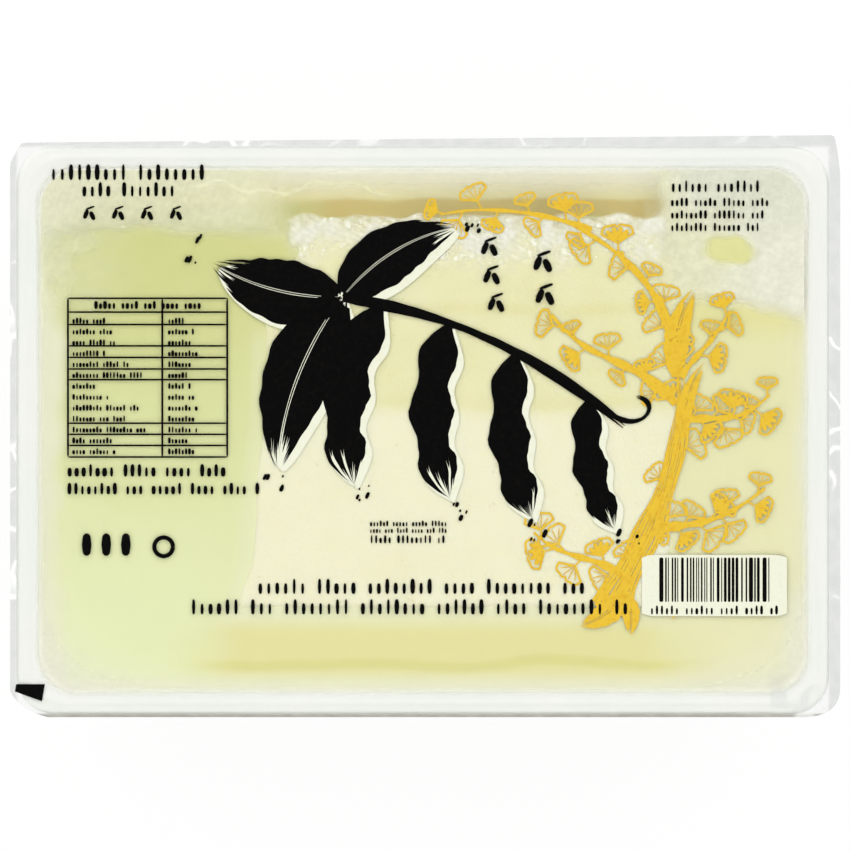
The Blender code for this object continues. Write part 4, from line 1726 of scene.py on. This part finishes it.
@dataclass
class Mist:
    """Condensation under the film: over the air pocket, along the walls, where it is partly painted light over their
    shade, with one clear patch.
    """

    film: LidFilm
    whey: Whey
    patch: tuple[float, float, float, float] = (0.0690, 0.0405, 0.0058, 0.0032)
    drops: int = 500
    columns: int = 300
    rows: int = 120
    gap: float = 0.00004
    ring_gap: float = 0.00007
    thickness: float = 0.00002
    wall_reach: float = 0.0070
    corner_reach: float = 0.0090
    froth_white: float = 1.0
    seed: int = 41

    def patch_share(self, x: Array, y: Array) -> Array:
        """1 in the middle of the clear patch and 0 outside it."""
        middle_x, middle_y, half_x, half_y = self.patch
        across = (x - middle_x) / half_x
        along = (y - middle_y + 0.12 * across * half_y) / half_y
        return smooth_step(1.30, 0.70, np.hypot(across, along) + 0.08 * waves(x, y, 0.005, 43))

    def froth_share(self, x: Array, y: Array) -> Array:
        """Fine froth over the block's back edge: pale clusters that thin out forwards."""
        across = smooth_step(-0.0315, -0.0285, x) * smooth_step(0.0560, 0.0530, x)
        front = smooth_step(0.0345, 0.0455, y + 0.0022 * waves(x, 0.0 * y, 0.014, self.seed + 4))
        back = smooth_step(0.0486, 0.0477, y + 0.0004 * waves(x, y, 0.007, self.seed + 5))
        clusters = smooth_step(-0.9, 1.2, waves(x, y, 0.0055, self.seed + 6))
        bits = smooth_step(-0.5, 0.9, waves(x, y, 0.0019, self.seed + 7))
        return across * front * back * (0.24 + 0.50 * clusters + 0.24 * bits)

    def misty_share(self, x: Array, y: Array) -> Array:
        """How misty the film is over the pocket: from 0, clear, to 1.

        The mist is thin over the block and beside its left, thick past its right side, and
        comes down the left end in soft patches. A faint wavy line of it hangs behind the block.

        Args:
            x: Places along X.
            y: Places along Y.

        Returns:
            The shares.
        """
        shore = self.whey.shore(x) + 0.0004 * waves(x, y, 0.008, self.seed + 2)
        left = smooth_step(-0.0265, -0.0410, x)
        pocket = smooth_step(shore - 0.0022, shore + 0.0022 + 0.0018 * left, y)
        right = smooth_step(0.0500, 0.0580, x + 0.0010 * waves(x, y, 0.006, self.seed + 8))
        cloud = smooth_step(-1.2, 1.2, waves(x, y, 0.007, self.seed))
        fine = smooth_step(-1.2, 1.2, waves(x, y, 0.0022, self.seed + 1))
        end = smooth_step(-0.0610, -0.0820, x) * smooth_step(0.020, 0.034, y)
        body = pocket * (0.04 + 0.62 * left + 0.88 * right)
        body = np.maximum(body * (0.90 + 0.10 * cloud), end * (0.24 + 0.22 * cloud))
        crest = 0.0546 + 0.0012 * np.sin(x * 230.0) - 0.0006 * np.sin(x * 610.0 + 1.0)
        line = np.exp(-(((y - crest) / 0.00035) ** 2)) * smooth_step(-0.054, -0.048, x)
        line = 0.35 * line * smooth_step(-0.004, -0.012, x)
        hole = 1.0 - self.patch_share(x, y)
        return np.clip(body + line + 0.10 * body * (fine - 0.5), 0.0, 1.0) * hole

    def wall_share(self, x: Array, y: Array, depth: Array) -> Array:
        """How foggy the film is near the walls, by the depth in from the rim's inner edge: partly condensation,
        partly painted light over the shade along the walls.
        """
        corner = smooth_step(0.050, 0.085, np.abs(x)) * smooth_step(0.030, 0.057, np.abs(y))
        back = smooth_step(0.040, 0.055, y)
        reach = self.wall_reach + self.corner_reach * corner
        # thicker at the back: partly painted light over the shade in the air pocket
        peak = np.minimum(0.20 + 0.36 * corner + 0.52 * back, 0.85)
        broad = peak * np.clip(1.0 - depth / reach, 0.0, 1.0) ** 1.4
        # painted light: a narrow pale band at the rim's inner edge, over the shade of its lip
        narrow = 0.25 * np.clip(1.0 - depth / 0.0010, 0.0, 1.0)
        return np.minimum(broad + narrow, 1.0) * smooth_step(-0.0010, 0.0002, depth)

    def sheet(self, name: str, upper: Array, mist: Array, white: Array) -> None:
        """Add a thin closed sheet under the film, open in the middle if its rows close on themselves.

        Args:
            name: The piece's name.
            upper: Points of its upper side, by row, by place, by axis.
            mist: The cover at each point.
            white: The whiteness at each point.
        """
        lower = upper - np.array([0.0, 0.0, self.thickness])
        if name == "wall_fog_and_light":
            rings = np.concatenate([upper, lower[::-1]])
            count = len(rings)
            around = rings.shape[1]
            skin = (rings.reshape(-1, 3), [grid_faces(count + 1, around, closed=True) % (count * around)])
            stored = [np.concatenate([part, part[::-1]]).ravel() for part in (mist, white)]
        else:
            rings = np.concatenate([upper, lower[:, ::-1]], axis=1)
            skin = ringed_skin(rings, rings[0].mean(axis=0), rings[-1].mean(axis=0))
            ends = [np.zeros(2), np.zeros(2)]
            stored = [
                np.concatenate([np.concatenate([part, part[:, ::-1]], axis=1).ravel(), end])
                for part, end in zip((mist, white), ends)
            ]
        piece = add_piece(name, skin, MistFinish().build())
        for key, values in zip(("mist", "white"), stored):
            store = piece.data.attributes.new(key, "FLOAT", "POINT")
            store.data.foreach_set("value", values.astype(np.float32))

    def pocket_sheet(self) -> None:
        """The mist and froth over the air pocket."""
        tray = self.film.tray
        half_x = tray.length / 2 - tray.band - 0.0002
        half_y = tray.width / 2 - tray.band - 0.0002
        x = np.linspace(-half_x + 0.0002, half_x - 0.0002, self.columns)[:, None]
        in_corner = np.maximum(np.abs(x) - (half_x - tray.corner), 0.0)
        back = half_y - tray.corner + np.sqrt(np.maximum(tray.corner**2 - in_corner**2, 0.0))
        front = 0.013
        y = front + (back - front) * np.linspace(0.0, 1.0, self.rows)
        x = np.broadcast_to(x, y.shape)
        upper = np.stack([x, y, self.film.height(x, y) - self.gap], axis=-1)
        froth = self.froth_share(x, y)
        mist = self.misty_share(x, y)
        cover = 1.0 - (1.0 - froth) * (1.0 - mist)
        self.sheet("mist_sheet", upper, cover, self.froth_white * froth / np.maximum(cover, 0.01))

    def wall_ring(self) -> None:
        """The fog along the walls, partly painted light over their shade."""
        tray = self.film.tray
        depth = 0.0190 * np.linspace(0.0, 1.0, 40) ** 1.6 - 0.0010
        inset = tray.band + depth
        plan = rounded_plan(tray.length / 2 - inset, tray.width / 2 - inset, tray.corner, 480)
        x, y = plan[..., 0], plan[..., 1]
        upper = np.stack([x, y, self.film.height(x, y) - self.ring_gap], axis=-1)
        cover = self.wall_share(x, y, depth[:, None])
        self.sheet("wall_fog_and_light", upper, cover, np.ones_like(cover))

    def build(self) -> None:
        """Make the mist, the fog along the walls, a few drops, and the clear patch of liquid."""
        self.pocket_sheet()
        self.wall_ring()
        rng = np.random.default_rng(self.seed)
        spots = rng.uniform((-0.0845, 0.014), (0.0845, 0.0572), (self.drops * 12, 2))
        share = self.misty_share(spots[:, 0], spots[:, 1]) - 0.25
        inside = self.film.tray.outside(spots[:, 0], spots[:, 1]) < -self.film.tray.band - 0.0012
        spots = spots[(rng.uniform(0.0, 1.1, len(spots)) < share) & inside][: self.drops]
        radius = 0.00010 + 0.00022 * rng.uniform(0.0, 1.0, len(spots)) ** 3
        low = self.film.height(*spots.T) - 0.00011
        beads = flat_beads(spots, low, radius, np.full(len(spots), 0.00004), rng)
        patch = np.array([self.patch[:2]])
        blob = flat_beads(patch, self.film.height(*patch.T) - 0.0005, np.array([1.3]), np.array([0.00034]), rng, 40)
        middle = np.array([*self.patch[:2], 0.0])
        stretch = np.array([*self.patch[2:], 1.0])
        blob = ((blob[0] - middle) * stretch + middle, blob[1])
        finish = WetFinish("mist_drops", (0.93, 0.92, 0.74), (0.88, 0.87, 0.64))
        add_piece("mist_beads", beads, finish.build())
        add_piece("clear_patch", blob, ClearDropFinish().build())


def flat_beads(
    spots: Array, heights: Array, radii: Array, rises: Array, rng: np.random.Generator, around: int = 8
) -> Skin:
    """Flattened, slightly uneven round beads: three rings between two poles.

    Args:
        spots: Their middles in plan.
        heights: Their middles' heights.
        radii: Their radii in plan.
        rises: Half their heights.
        rng: The source of their unevenness.
        around: The points in a ring.

    Returns:
        The closed skins.
    """
    count = len(spots)
    tilt = np.array([-0.9, 0.0, 0.9])[:, None]
    angle = np.arange(around) / around * 2.0 * np.pi
    wobble = 1.0 + 0.12 * np.cos(2.0 * angle + rng.uniform(0.0, 6.3, (count, 1)))
    reach = radii[:, None, None] * np.cos(tilt) * wobble[:, None]
    x = spots[:, 0, None, None] + reach * np.cos(angle)
    y = spots[:, 1, None, None] + reach * np.sin(angle)
    z = heights[:, None, None] + rises[:, None, None] * np.sin(tilt) + 0.0 * x
    poles = [np.stack([*spots.T, heights + side * rises], axis=-1) for side in (-1.0, 1.0)]
    return ringed_skins(np.stack([x, y, z], axis=-1), *poles)


@dataclass
class Froth:
    """Flattened bubbles caught between the film and the block's back edge."""

    film: LidFilm
    count: int = 750
    left: float = -0.0295
    right: float = 0.0550
    front: float = 0.0385
    back: float = 0.0476
    seed: int = 52

    def build(self) -> None:
        """Scatter the bubbles: many small ones, a few large, closest together at the back."""
        rng = np.random.default_rng(self.seed)
        x = rng.uniform(self.left, self.right, self.count)
        y = self.back - (self.back - self.front) * rng.uniform(0.0, 1.0, self.count) ** 1.2
        clumps = waves(x, y, 0.0050, 47) + 0.9 * smooth_step(0.044, 0.052, x)
        kept = clumps > rng.uniform(-0.6, 1.2, self.count)
        spots = np.stack([x, y], axis=-1)[kept]
        radius = 0.00014 + 0.0006 * rng.uniform(0.0, 1.0, len(spots)) ** 3
        low = self.film.height(*spots.T) - 0.00030
        skin = flat_beads(spots, low, radius, np.full(len(spots), 0.00020), rng, 12)
        finish = WetFinish("froth", (0.94, 0.945, 0.86), (0.90, 0.90, 0.74), 0.10)
        add_piece("froth_bubbles", skin, finish.build())


# ---------------------------------------------------------------- studio and camera


@dataclass
class Studio:
    """A pale floor, soft light that is stronger from the back, and a camera straight above."""

    view_width: float = 0.1912
    view_x: float = 0.0005
    view_y: float = 0.0012
    film_z: float = 0.0485
    distance: float = 1.2
    floor_z: float = -0.0001
    clear_layers: int = 32
    horizon: float = 0.52
    walls: float = 1.50
    overhead: float = 0.50
    overhead_from: float = 0.78
    window: float = 0.67

    def floor(self) -> None:
        """Lay a wide round floor under the pack."""
        angle = np.linspace(0.0, 2.0 * np.pi, 96, endpoint=False)
        radius = np.array([0.3, 0.9, 2.5])[:, None]
        rings = np.stack(
            [radius * np.cos(angle), radius * np.sin(angle), np.full((3, 96), self.floor_z)], axis=-1
        )
        mesh = bpy.data.meshes.new("floor")
        points = np.concatenate([rings.reshape(-1, 3), [[0.0, 0.0, self.floor_z]]])
        here = np.arange(96)
        fan = np.stack([here, (here + 1) % 96, np.full(96, len(points) - 1)], axis=-1)
        quads = grid_faces(3, 96, closed=True)[:, ::-1]
        mesh.from_pydata(points.tolist(), [], quads.tolist() + fan.tolist())
        paper = PaperSweep().build()
        paper.cycles.emission_sampling = "NONE"
        mesh.materials.append(paper)
        floor = bpy.data.objects.new("floor", mesh)
        bpy.context.scene.collection.objects.link(floor)

    def sky(self) -> None:
        """Light the set from a soft white room, dimmer low down and overhead, brighter at the back.

        The room is smooth enough to be found by the surfaces' own rays, so it is not
        sampled as a lamp.
        """
        graph = Graph("soft_room", world=True)
        _, back, up = graph.axes("Generated")
        overhead = up.between(self.overhead_from, 1.0)
        level = self.horizon + (self.walls - self.horizon) * up.between(0.02, 0.42)
        level = level + (self.overhead - self.walls) * overhead
        level = level + back.between(0.25, 0.85) * self.window
        light = graph.node("ShaderNodeBackground", {}, {"Color": (1.0, 1.0, 1.0), "Strength": level})
        world = graph.done(light.outputs[0])
        world.cycles.sampling_method = "NONE"
        bpy.context.scene.world = world

    def camera(self) -> None:
        """Put the camera straight above, framed on the film."""
        data = bpy.data.cameras.new("camera")
        data.lens = data.sensor_width * self.distance / self.view_width
        data.clip_start = 0.05
        data.clip_end = 10.0
        eye = bpy.data.objects.new("camera", data)
        eye.location = (self.view_x, self.view_y, self.film_z + self.distance)
        bpy.context.scene.collection.objects.link(eye)
        bpy.context.scene.camera = eye

    def build(self) -> None:
        """Make the whole studio."""
        self.camera()
        self.floor()
        self.sky()
        bpy.context.scene.view_settings.view_transform = "Standard"
        bpy.context.scene.cycles.transparent_max_bounces = self.clear_layers


def main() -> None:
    """Build and dress the pack, piece by piece."""
    logging.basicConfig(level=logging.INFO, format="%(message)s")
    Studio().build()
    tray = Tray()
    tray.build(TrayPlastic())
    film = LidFilm(tray)
    film.build(FilmPlastic())
    TofuBlock(tray, film).build(CurdFinish())
    whey = Whey(tray, film)
    whey.build(WheyFinish())
    Mist(film, whey).build()
    Froth(film).build()
    FilmPrint(film).build()


if __name__ == "__main__":
    main()
